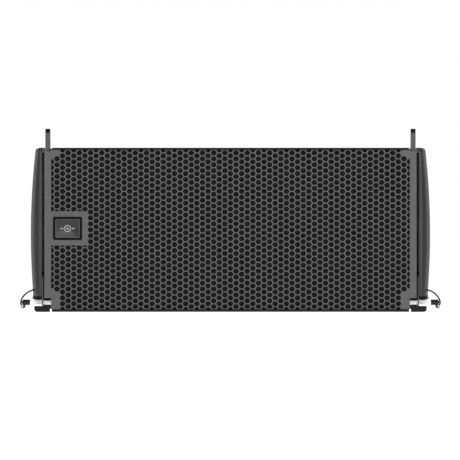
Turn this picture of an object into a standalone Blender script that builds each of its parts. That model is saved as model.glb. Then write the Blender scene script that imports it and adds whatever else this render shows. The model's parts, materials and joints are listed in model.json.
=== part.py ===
"""Line array loudspeaker element: a dual 8-inch wedge cabinet with its rigging, pins and lanyards.

Metres, +Z up. +X is the right-hand side as seen from the front, and the front faces -Y.
The origin is under the middle of the whole loudspeaker, at the height of the cabinet's bottom front edge.
"""
import bpy
import bmesh
from math import cos, pi, radians, sin, sqrt, tan
from mathutils import Matrix, Vector

MM = 0.001
GAP = 0.3 * MM                      # clearance between pieces that touch

# Cabinet: a wedge that narrows towards the rear by the same angle above and below
WEDGE = radians(5.0)
FRONT_HEIGHT = 250.6 * MM
CABINET_FRONT = -184 * MM
CABINET_REAR = 180 * MM
CABINET_HALF_WIDTH = 269.7 * MM
WALL = 15 * MM

# Grille: a folded sheet that covers the cabinet and both rigging channels
GRILLE_FRONT = -187.5 * MM
GRILLE_SHEET = 1.5 * MM
GRILLE_HALF_WIDTH = 284 * MM
GRILLE_BOTTOM = 4.0 * MM
GRILLE_TOP = 247.8 * MM
GRILLE_FOLD = 8 * MM
REBATE_DEPTH = 10 * MM
CORNER_EDGE = 273 * MM              # the grille's corner notches start here
CORNER_BOTTOM = 21 * MM             # and reach this high at the bottom,
CORNER_TOP = 245 * MM               # and down to here at the top
FOAM_HALF_WIDTH = (272.6 * MM, 274.8 * MM)    # between the lower corner notches, and above them
FOAM_HEIGHT = (8 * MM, 22 * MM, 243 * MM)     # bottom, top of the notches, top
FOAM_BACK = -179 * MM

# Badge: a raised frame round a plain plate, on the grille's left
BADGE_CENTRE = (-248.6 * MM, 127.3 * MM)
BADGE_HALF = (22.1 * MM, 17.6 * MM)
BADGE_BORDER = 2.6 * MM
BADGE_FRONT = -190 * MM

# Rigging channel on each side, between an inner plate and an outer cheek
PLATE_INNER = (270.0 * MM, 273.0 * MM)
CHEEK = (285.8 * MM, 287.6 * MM)
BAR = (275.35 * MM, 282.65 * MM)
SPACER_Y = (-136 * MM, -116 * MM)
SPACER_Z = (17 * MM, 60 * MM)
PIN_HEIGHT = 14.5 * MM                # pin axis above the wedge's bottom, and below a bar's end
PIN_RADIUS = 2.8 * MM
PIN_HOLE = 3.1 * MM
STOP_RADIUS = 5.0 * MM
STOP_HOLE = 5.3 * MM
FRONT_PIN_Y = -163 * MM
REAR_PIN_Y = 137 * MM
BAR_WIDTH = 36 * MM
FRONT_BAR_RISE = 29 * MM            # how far the front bar stands out of the top
FRONT_BAR_LENGTH = 149.6 * MM
FRONT_STROKE = 31 * MM
REAR_BAR_LENGTH = 130 * MM
REAR_STROKE = 45 * MM
FRONT_STOP_Z = 150 * MM
REAR_STOP_Z = 165 * MM

# Quick-release pins: the shaft through the channel, on the front ones a neck with a collar, and a grip
PIN_TIP = 264.5 * MM
PIN_SHOULDER = 287.9 * MM           # the shaft thickens here
NECK_RADIUS = 3.05 * MM
COLLAR = (302.3 * MM, 303.7 * MM)
COLLAR_RADIUS = 8 * MM
FRONT_GRIP = (306.2 * MM, 317.6 * MM)
REAR_GRIP = (288.2 * MM, 299 * MM)
GRIP_RADIUS = 4.4 * MM
BUTTON_BORE = 2.6 * MM
BUTTON_DEPTH = 4.5 * MM
BUTTON_RISE = 1.4 * MM              # how far the button stands out of the grip
LUG_X = (313.2 * MM, 319.6 * MM)    # a lug under the front grip's outer end carries a ring
LUG_DROP = (8.3 * MM, 3.5 * MM)     # its bottom and top below the pin's axis
LUG_HALF = 0.7 * MM
EYE = (317.9 * MM, 6.0 * MM)        # the lug's eye: distance out, and below the pin's axis
EYE_RADIUS = 1.5 * MM
RING = (2.2 * MM, 0.5 * MM)         # major and minor radius

# Side caps
CAP_INNER = 287.9 * MM
CAP_FRONT = -186 * MM
CAP_REAR = 100 * MM
CAP_SKIN = 3 * MM
CAP_FOOT = 18 * MM                  # the cap's lower edge above the cabinet's bottom
CAP_NOSE = 30 * MM                  # depth of the rounded front
CAP_TAIL = 30 * MM                  # depth of the rounded rear
CAP_FLANGE = 283.2 * MM             # its top front corner reaches in to here,
FLANGE_REAR = -172 * MM             # back to here
FLANGE_THICKNESS = 4.6 * MM         # and is this thick there
POCKET_Y = (-58 * MM, 58 * MM)      # hand-hold in the cap
POCKET_Z = (89 * MM, 161 * MM)
POCKET_FLOOR = 279 * MM
LANYARD_HOLE = (-171 * MM, 33.5 * MM)    # (y, z) of the hole that the front lanyard comes out of
LANYARD_HOLE_RADIUS = 3.2 * MM

# Feet under the rigging channels
FOOT = (273.4 * MM, 299.5 * MM)
FOOT_FRONT = -187 * MM
FOOT_REAR = -125 * MM

# Drivers
WOOFER_X = 151 * MM
DRIVER_Z = FRONT_HEIGHT / 2
BAFFLE = (-168 * MM, -150 * MM)

# Input panel on the back, over an opening in the cabinet
PANEL_HALF = (75 * MM, 50 * MM)
PANEL_OVERLAP = 10 * MM
PANEL_SHEET = 3 * MM
SOCKET_X = 30 * MM

# Lanyards
LANYARD_RADIUS = 0.9 * MM


def bottom_at(y):
    """Height of the cabinet's sloping bottom at depth y."""
    return max(0.0, (y - CABINET_FRONT) * tan(WEDGE))


def top_at(y):
    """Height of the cabinet's sloping top at depth y."""
    return FRONT_HEIGHT - bottom_at(y)


def clear_scene():
    for obj in list(bpy.data.objects):
        bpy.data.objects.remove(obj, do_unlink=True)


def make_material(name, colour, roughness, metallic=0.0):
    material = bpy.data.materials.new(name)
    material.use_nodes = True
    shader = material.node_tree.nodes["Principled BSDF"]
    shader.inputs["Base Color"].default_value = (*colour, 1.0)
    shader.inputs["Roughness"].default_value = roughness
    shader.inputs["Metallic"].default_value = metallic
    return material


def make_object(name, bm, material, smooth=False, origin=(0, 0, 0)):
    """Turn a bmesh in world coordinates into an object whose origin is the given point."""
    bmesh.ops.recalc_face_normals(bm, faces=bm.faces)
    bm.transform(Matrix.Translation(-Vector(origin)))
    mesh = bpy.data.meshes.new(name)
    bm.to_mesh(mesh)
    bm.free()
    if smooth:
        mesh.shade_smooth()
        mesh.set_sharp_from_angle(angle=radians(35))
    mesh.materials.append(material)
    obj = bpy.data.objects.new(name, mesh)
    obj.location = origin
    bpy.context.scene.collection.objects.link(obj)
    return obj


def flipped(bm):
    """The mirror image of a bmesh in the plane X = 0."""
    bmesh.ops.scale(bm, vec=(-1, 1, 1), verts=bm.verts)
    bmesh.ops.reverse_faces(bm, faces=bm.faces)
    return bm


def make_pair(name, build, material, smooth=False, origin=(0, 0, 0)):
    """Build a right-hand piece with build() and its mirror image on the left."""
    right = make_object(name + "_right", build(), material, smooth, origin)
    mirrored = (-origin[0], origin[1], origin[2])
    left = make_object(name + "_left", flipped(build()), material, smooth, mirrored)
    return left, right


def box(low, high):
    bm = bmesh.new()
    bmesh.ops.create_cube(bm, size=1.0)
    size = [high[i] - low[i] for i in range(3)]
    centre = [(high[i] + low[i]) / 2 for i in range(3)]
    bmesh.ops.scale(bm, vec=size, verts=bm.verts)
    bmesh.ops.translate(bm, vec=centre, verts=bm.verts)
    return bm


def prism(outline, axis, start, end):
    """Extrude a closed outline of (u, v) points along an axis: u, v are the other two axes in order."""
    others = [i for i in range(3) if i != axis]
    bm = bmesh.new()
    loops = []
    for level in (start, end):
        ring = []
        for u, v in outline:
            point = [0.0, 0.0, 0.0]
            point[axis] = level
            point[others[0]] = u
            point[others[1]] = v
            ring.append(bm.verts.new(point))
        loops.append(ring)
    count = len(outline)
    bm.faces.new(loops[0])
    bm.faces.new(list(reversed(loops[1])))
    for i in range(count):
        j = (i + 1) % count
        bm.faces.new((loops[0][i], loops[1][i], loops[1][j], loops[0][j]))
    return bm


def turned(profile, axis, centre, segments=32):
    """Revolve (radius, distance) points round an axis through centre: distance is along the axis."""
    others = [i for i in range(3) if i != axis]
    bm = bmesh.new()
    rings = []
    for radius, distance in profile:
        ring = []
        steps = segments if radius > 1e-6 else 1
        for k in range(steps):
            angle = 2 * pi * k / segments
            point = list(centre)
            point[axis] = distance
            point[others[0]] += radius * cos(angle)
            point[others[1]] += radius * sin(angle)
            ring.append(bm.verts.new(point))
        rings.append(ring)
    closed = profile[0][0] > 1e-6 and profile[-1][0] > 1e-6
    pairs = list(zip(rings, rings[1:]))
    if closed:
        pairs.append((rings[-1], rings[0]))
    for first, second in pairs:
        for k in range(segments):
            n = (k + 1) % segments
            if len(first) == 1:
                bm.faces.new((first[0], second[k], second[n]))
            elif len(second) == 1:
                bm.faces.new((first[k], second[0], first[n]))
            else:
                bm.faces.new((first[k], second[k], second[n], first[n]))
    return bm


def rod(axis, centre, radius, start, end, segments=24):
    """A plain round bar along an axis."""
    return turned([(0, start), (radius, start), (radius, end), (0, end)], axis, centre, segments)


def ring_body(axis, centre, major, minor, segments=24, sides=8):
    """A torus whose hole runs along an axis."""
    profile = []
    for k in range(sides):
        angle = 2 * pi * k / sides
        profile.append((major + minor * cos(angle), centre[axis] + minor * sin(angle)))
    return turned(profile, axis, centre, segments)


def apply_boolean(obj, bm, operation):
    """Cut or join a bmesh with an object at the origin, and keep only the result."""
    bmesh.ops.recalc_face_normals(bm, faces=bm.faces)
    mesh = bpy.data.meshes.new("tool")
    bm.to_mesh(mesh)
    bm.free()
    tool = bpy.data.objects.new("tool", mesh)
    bpy.context.scene.collection.objects.link(tool)
    modifier = obj.modifiers.new(operation, "BOOLEAN")
    modifier.operation = operation
    modifier.solver = "EXACT"
    modifier.object = tool
    graph = bpy.context.evaluated_depsgraph_get()
    result = bpy.data.meshes.new_from_object(obj.evaluated_get(graph))
    obj.modifiers.clear()
    obj.data = result
    bpy.data.objects.remove(tool, do_unlink=True)


def cut(obj, bm):
    apply_boolean(obj, bm, "DIFFERENCE")


def join(obj, bm):
    apply_boolean(obj, bm, "UNION")


def cut_both_sides(obj, build):
    """Cut the same shape on the right and, mirrored, on the left."""
    cut(obj, build())
    cut(obj, flipped(build()))


def side_objects(pair):
    """The two objects of a pair, each with the sign of its side."""
    left, right = pair
    return ((right, 1), (left, -1))


def cut_pair(pair, build):
    for obj, side in side_objects(pair):
        cut(obj, build() if side > 0 else flipped(build()))


def join_pair(pair, build):
    for obj, side in side_objects(pair):
        join(obj, build() if side > 0 else flipped(build()))


def front_pin_axis():
    return (0, FRONT_PIN_Y, PIN_HEIGHT)


def rear_pin_axis():
    return (0, REAR_PIN_Y, bottom_at(REAR_PIN_Y) + PIN_HEIGHT)


def front_stop_axis():
    return (0, FRONT_PIN_Y, FRONT_STOP_Z)


def rear_stop_axis():
    return (0, REAR_PIN_Y, REAR_STOP_Z)


# ---------------------------------------------------------------- cabinet

def wedge_outline(front, rear, inset):
    """The cabinet's side outline in (y, z), moved inwards by inset above and below."""
    drop = inset / cos(WEDGE)
    low_front = (front - CABINET_FRONT) * tan(WEDGE) + drop
    low_rear = (rear - CABINET_FRONT) * tan(WEDGE) + drop
    return [
        (front, low_front),
        (rear, low_rear),
        (rear, FRONT_HEIGHT - low_rear),
        (front, FRONT_HEIGHT - low_front),
    ]


def make_enclosure(material):
    outline = wedge_outline(CABINET_FRONT, CABINET_REAR, 0)
    bm = prism(outline, 0, -CABINET_HALF_WIDTH, CABINET_HALF_WIDTH)
    shell = make_object("cabinet_shell", bm, material)
    half = CABINET_HALF_WIDTH - WALL
    cut(shell, prism(wedge_outline(CABINET_FRONT - 20 * MM, CABINET_REAR - WALL, WALL), 0, -half, half))
    rebate_low = GRILLE_BOTTOM - GAP
    rebate_high = GRILLE_TOP + GAP
    cut(shell, box((-1, CABINET_FRONT - 20 * MM, rebate_low), (1, CABINET_FRONT + REBATE_DEPTH, rebate_high)))
    half, high = PANEL_HALF[0] - PANEL_OVERLAP, PANEL_HALF[1] - PANEL_OVERLAP
    cut(shell, box((-half, CABINET_REAR - 2 * WALL, DRIVER_Z - high),
                   (half, CABINET_REAR + WALL, DRIVER_Z + high)))
    for axis_point in (front_pin_axis(), rear_pin_axis()):
        cut_both_sides(shell, lambda: rod(0, axis_point, 4 * MM, 262 * MM, 275 * MM, 16))
    return shell


def make_baffle(material):
    half = CABINET_HALF_WIDTH - WALL - GAP
    low = bottom_at(BAFFLE[1]) + WALL / cos(WEDGE) + GAP
    baffle = make_object("front_baffle", box((-half, BAFFLE[0], low), (half, BAFFLE[1], FRONT_HEIGHT - low)),
                         material)
    cut_both_sides(baffle, lambda: rod(1, (WOOFER_X, 0, DRIVER_Z), 93 * MM, -180 * MM, -140 * MM, 40))
    cut(baffle, box((-46 * MM, -180 * MM, DRIVER_Z - 98 * MM), (46 * MM, -140 * MM, DRIVER_Z + 98 * MM)))
    return baffle


# ---------------------------------------------------------------- drivers

def make_woofers(frame_paint, paper, magnet_steel):
    centre = (WOOFER_X, 0, DRIVER_Z)
    seat = BAFFLE[0] - GAP
    basket = [
        (100, seat / MM - 3.2), (100, seat / MM), (92, seat / MM), (88, -150), (52, -102), (52, -94),
        (40, -94), (40, -98), (48, -104), (84, -152), (86.5, seat / MM - 3.2),
    ]
    cone = [
        (0, -136), (14, -133.5), (22, -128), (72, -163), (76, -166.5), (80, -167.5), (84, -166),
        (84, -165), (80, -166.3), (76.5, -165.3), (73, -162), (24, -122), (0, -120),
    ]
    magnet = [(0, -93.7), (36, -93.7), (45, -90), (45, -66), (40, -62), (0, -62)]

    def scaled(points):
        return [(r * MM, y * MM) for r, y in points]

    make_pair("woofer_basket", lambda: turned(scaled(basket), 1, centre, 32), frame_paint, True)
    make_pair("woofer_cone", lambda: turned(scaled(cone), 1, centre, 28), paper, True)
    make_pair("woofer_magnet", lambda: turned(scaled(magnet), 1, centre, 24), magnet_steel, True)


def rectangle_tube(outer, inner):
    """A tube from two lists of (half width, half height, y) sections, outer and inner, front to back."""
    bm = bmesh.new()
    rings = []
    for half_width, half_height, y in list(outer) + list(reversed(inner)):
        corners = ((-1, -1), (1, -1), (1, 1), (-1, 1))
        rings.append([bm.verts.new((sx * half_width, y, DRIVER_Z + sz * half_height)) for sx, sz in corners])
    for first, second in zip(rings, rings[1:] + rings[:1]):
        for k in range(4):
            n = (k + 1) % 4
            bm.faces.new((first[k], second[k], second[n], first[n]))
    return bm


def make_high_frequency(plastic, steel):
    seat = BAFFLE[0] - GAP
    outer = [
        (49 * MM, 102 * MM, seat - 3.2 * MM), (49 * MM, 102 * MM, seat), (45 * MM, 97 * MM, seat),
        (30 * MM, 70 * MM, -120 * MM), (20 * MM, 20 * MM, -92 * MM),
    ]
    inner = [
        (43 * MM, 95 * MM, seat - 3.2 * MM), (27 * MM, 67 * MM, -121 * MM), (13 * MM, 13 * MM, -92 * MM),
    ]
    make_object("horn_waveguide", rectangle_tube(outer, inner), plastic)
    profile = [(0, -91.7), (42, -91.7), (45, -86), (45, -62), (36, -54), (0, -54)]
    points = [(r * MM, y * MM) for r, y in profile]
    make_object("compression_driver", turned(points, 1, (0, 0, DRIVER_Z), 24), steel, True)


def make_crossover(board_green, copper, film):
    make_object("crossover_board", box((-230 * MM, 161 * MM, 75 * MM), (-100 * MM, 163 * MM, 170 * MM)),
                board_green)
    coil = [(9, 136), (24, 136), (24, 160.7), (9, 160.7)]
    points = [(r * MM, y * MM) for r, y in coil]
    make_object("crossover_inductor", turned(points, 1, (-195 * MM, 0, 130 * MM), 24), copper, True)
    make_object("crossover_capacitor", rod(1, (-135 * MM, 0, 120 * MM), 11 * MM, 125 * MM, 160.7 * MM),
                film, True)


def make_input_panel(paint, socket_plastic):
    face = CABINET_REAR + GAP
    half, high = PANEL_HALF
    panel = make_object("rear_input_panel", box((-half, face, DRIVER_Z - high),
                                                (half, face + PANEL_SHEET, DRIVER_Z + high)), paint)
    for name, x in (("input_socket", -SOCKET_X), ("link_socket", SOCKET_X)):
        cut(panel, rod(1, (x, 0, DRIVER_Z), 12 * MM, 170 * MM, 195 * MM))
        flange = face + PANEL_SHEET + GAP
        profile = [
            (0, 155 * MM), (11.7 * MM, 155 * MM), (11.7 * MM, flange), (15.5 * MM, flange),
            (15.5 * MM, 190 * MM), (8.5 * MM, 190 * MM), (8.5 * MM, 165 * MM), (0, 165 * MM),
        ]
        make_object(name, turned(profile, 1, (x, 0, DRIVER_Z), 24), socket_plastic, True)


# ---------------------------------------------------------------- grille and badge

def make_grille(paint, foam):
    low, high = GRILLE_BOTTOM, GRILLE_TOP
    wide, edge = GRILLE_HALF_WIDTH, CORNER_EDGE
    right = [(edge, low), (edge, CORNER_BOTTOM), (wide, CORNER_BOTTOM), (wide, CORNER_TOP),
             (edge + 2 * MM, CORNER_TOP), (edge, high)]
    outline = right + [(-x, z) for x, z in reversed(right)]
    back = GRILLE_FRONT + GRILLE_SHEET
    grille = make_object("front_grille", prism(outline, 1, GRILLE_FRONT, back), paint)
    fold_half = CABINET_HALF_WIDTH + 1 * MM
    for z0, z1 in ((low, low + GRILLE_SHEET), (high - GRILLE_SHEET, high)):
        join(grille, box((-fold_half, back - 1 * MM, z0), (fold_half, back + GRILLE_FOLD, z1)))
    (narrow, full), (foam_low, step, foam_high) = FOAM_HALF_WIDTH, FOAM_HEIGHT
    right = [(narrow, foam_low), (narrow, step), (full, step), (full, foam_high)]
    outline = right + [(-x, z) for x, z in reversed(right)]
    make_object("grille_foam", prism(outline, 1, back + GAP, FOAM_BACK), foam)


def make_badge(trim, plate):
    (centre_x, centre_z), (half_w, half_h) = BADGE_CENTRE, BADGE_HALF
    back = GRILLE_FRONT - GAP
    frame = make_object("badge_frame", box((centre_x - half_w, BADGE_FRONT, centre_z - half_h),
                                           (centre_x + half_w, back, centre_z + half_h)), trim)
    inner_w, inner_h = half_w - BADGE_BORDER, half_h - BADGE_BORDER
    cut(frame, box((centre_x - inner_w, -200 * MM, centre_z - inner_h),
                   (centre_x + inner_w, -180 * MM, centre_z + inner_h)))
    inner_w -= GAP
    inner_h -= GAP
    make_object("badge_plate", box((centre_x - inner_w, BADGE_FRONT + 0.8 * MM, centre_z - inner_h),
                                   (centre_x + inner_w, back, centre_z + inner_h)), plate)


# ---------------------------------------------------------------- side caps

def cap_bulge(v):
    """How far the cap stands out at height fraction v: fullest a little below the middle."""
    return (12.3 + 22.0 * v - 24.4 * v * v) * MM


def cap_plan(y):
    """The cap's plan curve, 0 to 1: a quarter ellipse at the front, a shorter one at the rear."""
    front = min(1.0, (y - CAP_FRONT) / CAP_NOSE)
    rear = min(1.0, (CAP_REAR - y) / CAP_TAIL)
    front_rise = sqrt(max(0.0, 1 - (1 - front) ** 2))
    rear_rise = sqrt(max(0.0, 1 - (1 - rear) ** 2))
    return (0.2 + 0.8 * front_rise) * (0.5 + 0.5 * rear_rise)


def cap_body(inner_x, skin):
    """The cap's outer form, closed by a flat inner face; skin shrinks it for the hollow."""
    rows, columns = 15, 8
    bm = bmesh.new()
    outer, inner = [], []
    for i in range(rows):
        # the stations crowd towards the front, where the plan curve is tightest
        t = (i / (rows - 1)) ** 1.9
        y = CAP_FRONT + skin + t * (CAP_REAR - CAP_FRONT - 2 * skin)
        low = bottom_at(y) + CAP_FOOT
        high = top_at(y) - GAP
        outer_row, inner_row = [], []
        for j in range(columns):
            v = j / (columns - 1)
            z = low + skin + v * (high - low - 2 * skin)
            x = CAP_INNER + cap_bulge(v) * cap_plan(y) - skin
            x = max(x, inner_x + 0.5 * MM)
            outer_row.append(bm.verts.new((x, y, z)))
            inner_row.append(bm.verts.new((inner_x, y, z)))
        outer.append(outer_row)
        inner.append(inner_row)
    for i in range(rows - 1):
        for j in range(columns - 1):
            for grid in (outer, inner):
                bm.faces.new((grid[i][j], grid[i + 1][j], grid[i + 1][j + 1], grid[i][j + 1]))
        for j in (0, columns - 1):
            bm.faces.new((outer[i][j], outer[i + 1][j], inner[i + 1][j], inner[i][j]))
    for i in (0, rows - 1):
        for j in range(columns - 1):
            bm.faces.new((outer[i][j], outer[i][j + 1], inner[i][j + 1], inner[i][j]))
    bmesh.ops.triangulate(bm, faces=bm.faces)
    return bm


def make_side_caps(plastic):
    caps = make_pair("side_cap", lambda: cap_body(CAP_INNER, 0), plastic, True)
    cut_pair(caps, lambda: cap_body(CAP_INNER - 5 * MM, CAP_SKIN))
    rim = CAP_INNER + 14 * MM
    join_pair(caps, lambda: box((POCKET_FLOOR - CAP_SKIN, POCKET_Y[0] - CAP_SKIN, POCKET_Z[0] - CAP_SKIN),
                                (rim, POCKET_Y[1] + CAP_SKIN, POCKET_Z[1] + CAP_SKIN)))
    cut_pair(caps, lambda: box((POCKET_FLOOR, POCKET_Y[0], POCKET_Z[0]),
                               (rim + 18 * MM, POCKET_Y[1], POCKET_Z[1])))
    hole = (0, LANYARD_HOLE[0], LANYARD_HOLE[1])
    cut_pair(caps, lambda: rod(0, hole, LANYARD_HOLE_RADIUS, CAP_INNER, CAP_INNER + 25 * MM, 16))
    front, rear = CAP_FRONT + GAP, FLANGE_REAR
    under = top_at(rear) - FLANGE_THICKNESS
    outline = [(front, under), (rear, under),
               (rear, top_at(rear) - GAP), (front, top_at(front) - GAP)]
    join_pair(caps, lambda: prism(outline, 0, CAP_FLANGE, CAP_INNER + 1 * MM))
    return caps


# ---------------------------------------------------------------- rigging

def make_plates(steel):
    front, rear = -172 * MM, 176 * MM
    outline = [(front, bottom_at(front) + 1 * MM), (rear, bottom_at(rear) + 1 * MM),
               (rear, top_at(rear) - 1 * MM), (front, top_at(front) - 1 * MM)]
    plates = make_pair("inner_rigging_plate", lambda: prism(outline, 0, *PLATE_INNER), steel)
    front_outline = [
        (-184 * MM, 10 * MM), (-112 * MM, 10 * MM), (-112 * MM, 236 * MM), (-119 * MM, 243 * MM),
        (-168 * MM, 243 * MM), (-168 * MM, 60 * MM), (-184 * MM, 54 * MM),
    ]
    front_cheeks = make_pair("front_rigging_cheek", lambda: prism(front_outline, 0, *CHEEK), steel)
    rear_front, rear_rear = 105 * MM, 176 * MM
    rear_outline = [
        (rear_front, bottom_at(rear_front) + 2 * MM), (rear_rear, bottom_at(rear_rear) + 2 * MM),
        (rear_rear, top_at(rear_rear) - 2 * MM), (rear_front, top_at(rear_front) - 2 * MM),
    ]
    rear_cheeks = make_pair("rear_rigging_cheek", lambda: prism(rear_outline, 0, *CHEEK), steel)
    holes = ((front_pin_axis(), PIN_HOLE, front_cheeks), (front_stop_axis(), STOP_HOLE, front_cheeks),
             (rear_pin_axis(), PIN_HOLE, rear_cheeks), (rear_stop_axis(), STOP_HOLE, rear_cheeks))
    for axis_point, radius, cheeks in holes:
        for pair in (plates, cheeks):
            cut_pair(pair, lambda: rod(0, axis_point, radius, 260 * MM, 300 * MM, 20))


def make_stop_pins(steel):
    start, end = PLATE_INNER[0] + GAP, CHEEK[1] + 0.9 * MM
    make_pair("front_stop_pin", lambda: rod(0, front_stop_axis(), STOP_RADIUS, start, end, 20), steel, True)
    make_pair("rear_stop_pin", lambda: rod(0, rear_stop_axis(), STOP_RADIUS, start, end, 20), steel, True)


def make_feet(plastic):
    """Each foot is highest next to the cabinet, low under the cap, and open for the link bar from below."""
    inner, outer = FOOT
    front = [
        (inner + 2.2 * MM, 0), (outer - 4 * MM, 0), (outer - 1.2 * MM, 1.2 * MM), (outer, 4 * MM),
        (outer, 8.7 * MM), (288.2 * MM, 8.7 * MM), (288.2 * MM, 9.5 * MM), (285.4 * MM, 9.5 * MM),
        (285.4 * MM, 11 * MM), (inner, 11 * MM), (inner, 5.4 * MM), (inner + 2.2 * MM, 4.6 * MM),
    ]
    feet = make_pair("front_foot", lambda: prism(front, 1, FOOT_FRONT, FOOT_REAR), plastic)
    slot = (-183 * MM, -143 * MM)
    cut_pair(feet, lambda: box((inner - 5 * MM, slot[0], -5 * MM), (283.6 * MM, slot[1], 20 * MM)))
    rear = FOOT_REAR + 5 * MM
    under = [(CABINET_FRONT, 0), (rear, bottom_at(rear)), (rear, -5 * MM), (CABINET_FRONT, -5 * MM)]
    cut_pair(feet, lambda: prism(under, 0, inner - 5 * MM, outer + 5 * MM))


def make_channel_spacers(plastic):
    """The block that keeps plate and cheek apart, low in the channel behind the front pin."""
    (front, rear), (bottom, top) = SPACER_Y, SPACER_Z
    low, high = (PLATE_INNER[1] + GAP, front, bottom), (CHEEK[0] - GAP, rear, top)
    make_pair("channel_spacer", lambda: box(low, high), plastic)


def bar_with_slot(pin_y, low, high, slot_low, slot_high, chamfer):
    """A flat link bar: chamfered ends, and a round-ended slot that rides on the stop pin."""
    y0, y1 = pin_y - BAR_WIDTH / 2, pin_y + BAR_WIDTH / 2
    outline = [
        (y0 + chamfer, low), (y1 - chamfer, low), (y1, low + chamfer), (y1, high - chamfer),
        (y1 - chamfer, high), (y0 + chamfer, high), (y0, high - chamfer), (y0, low + chamfer),
    ]

    def build():
        return prism(outline, 0, *BAR)

    def slot():
        arc = []
        for centre_z, first in ((slot_high, 0), (slot_low, pi)):
            for k in range(9):
                angle = first + pi * k / 8
                arc.append((pin_y + STOP_HOLE * cos(angle), centre_z + STOP_HOLE * sin(angle)))
        return prism(arc, 0, BAR[0] - 5 * MM, BAR[1] + 5 * MM)

    return build, slot


def make_link_bars(steel):
    top = FRONT_HEIGHT + FRONT_BAR_RISE
    stop_z = front_stop_axis()[2]
    build, slot = bar_with_slot(FRONT_PIN_Y, top - FRONT_BAR_LENGTH, top, stop_z, stop_z + FRONT_STROKE,
                                6 * MM)
    bar_middle = (BAR[0] + BAR[1]) / 2
    bars = make_pair("front_link_bar", build, steel, False, (bar_middle, FRONT_PIN_Y, stop_z))
    cut_pair(bars, slot)
    hole = (0, FRONT_PIN_Y, FRONT_HEIGHT + PIN_HEIGHT)
    cut_pair(bars, lambda: rod(0, hole, PIN_HOLE, 270 * MM, 290 * MM, 20))

    stowed_top = top_at(REAR_PIN_Y) - 1 * MM
    stop_z = rear_stop_axis()[2]
    build, slot = bar_with_slot(REAR_PIN_Y, stowed_top - REAR_BAR_LENGTH, stowed_top,
                                stop_z - REAR_STROKE, stop_z, 5 * MM)
    bars = make_pair("rear_angle_bar", build, steel, False, (bar_middle, REAR_PIN_Y, stop_z))
    cut_pair(bars, slot)
    for k in range(3):
        for shift, drop in ((-8 * MM, 14 * MM), (8 * MM, 19 * MM)):
            angle_hole = (0, REAR_PIN_Y + shift, stowed_top - drop - k * 9.5 * MM)
            cut_pair(bars, lambda: rod(0, angle_hole, PIN_HOLE, 270 * MM, 290 * MM, 12))


# ---------------------------------------------------------------- quick-release pins

def make_pin(name, axis_point, grip, neck_end, metals):
    """One quick-release pin: shaft, grip with a bore, and the release button in the bore."""
    shaft_metal, grip_plastic, button_metal = metals
    profile = [(0, PIN_TIP), (PIN_RADIUS - 0.6 * MM, PIN_TIP), (PIN_RADIUS, PIN_TIP + 0.8 * MM),
               (PIN_RADIUS, PIN_SHOULDER)]
    if neck_end:
        profile += [(NECK_RADIUS, PIN_SHOULDER), (NECK_RADIUS, COLLAR[0]), (COLLAR_RADIUS, COLLAR[0]),
                    (COLLAR_RADIUS, COLLAR[1]), (NECK_RADIUS, COLLAR[1]), (NECK_RADIUS, neck_end)]
    profile.append((0, profile[-1][1]))
    origin = (profile[-1][1], axis_point[1], axis_point[2])
    make_pair(name + "_shaft", lambda: turned(profile, 0, axis_point, 20), shaft_metal, True, origin)
    start, end = grip
    edge = 0.6 * MM
    body = [(0, start), (GRIP_RADIUS - edge, start), (GRIP_RADIUS, start + edge), (GRIP_RADIUS, end - edge),
            (GRIP_RADIUS - edge, end), (BUTTON_BORE, end), (BUTTON_BORE, end - BUTTON_DEPTH),
            (0, end - BUTTON_DEPTH)]
    origin = (start, axis_point[1], axis_point[2])
    grips = make_pair(name + "_handle", lambda: turned(body, 0, axis_point, 20), grip_plastic, True, origin)
    button = (end - BUTTON_DEPTH + 2.4 * MM, end + BUTTON_RISE)
    origin = (end, axis_point[1], axis_point[2])
    radius = BUTTON_BORE - GAP
    make_pair(name + "_button", lambda: rod(0, axis_point, radius, *button, 16), button_metal, True, origin)
    return grips


def turned_about_z(bm, centre, angle):
    """The bmesh turned about a vertical line through centre."""
    bmesh.ops.rotate(bm, verts=bm.verts, cent=centre, matrix=Matrix.Rotation(angle, 3, "Z"))
    return bm


def make_pins(metals, ring_metal):
    axis_point = front_pin_axis()
    grips = make_pin("front_pin", axis_point, FRONT_GRIP, FRONT_GRIP[0] - GAP, metals)
    y, z = axis_point[1], axis_point[2]
    join_pair(grips, lambda: box((LUG_X[0], y - LUG_HALF, z - LUG_DROP[0]),
                                 (LUG_X[1], y + LUG_HALF, z - LUG_DROP[1])))
    eye = (EYE[0], y, z - EYE[1])
    cut_pair(grips, lambda: rod(1, eye, EYE_RADIUS, y - 3 * MM, y + 3 * MM, 16))
    # the ring hangs through the eye, turned at an angle
    ring_centre = (eye[0], y, eye[2] - RING[0])
    make_pair("front_pin_ring", lambda: turned_about_z(ring_body(0, ring_centre, *RING, 20, 6),
                                                       ring_centre, pi / 4), ring_metal, True)
    make_pin("rear_pin", rear_pin_axis(), REAR_GRIP, None, metals)


# ---------------------------------------------------------------- lanyards

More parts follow.
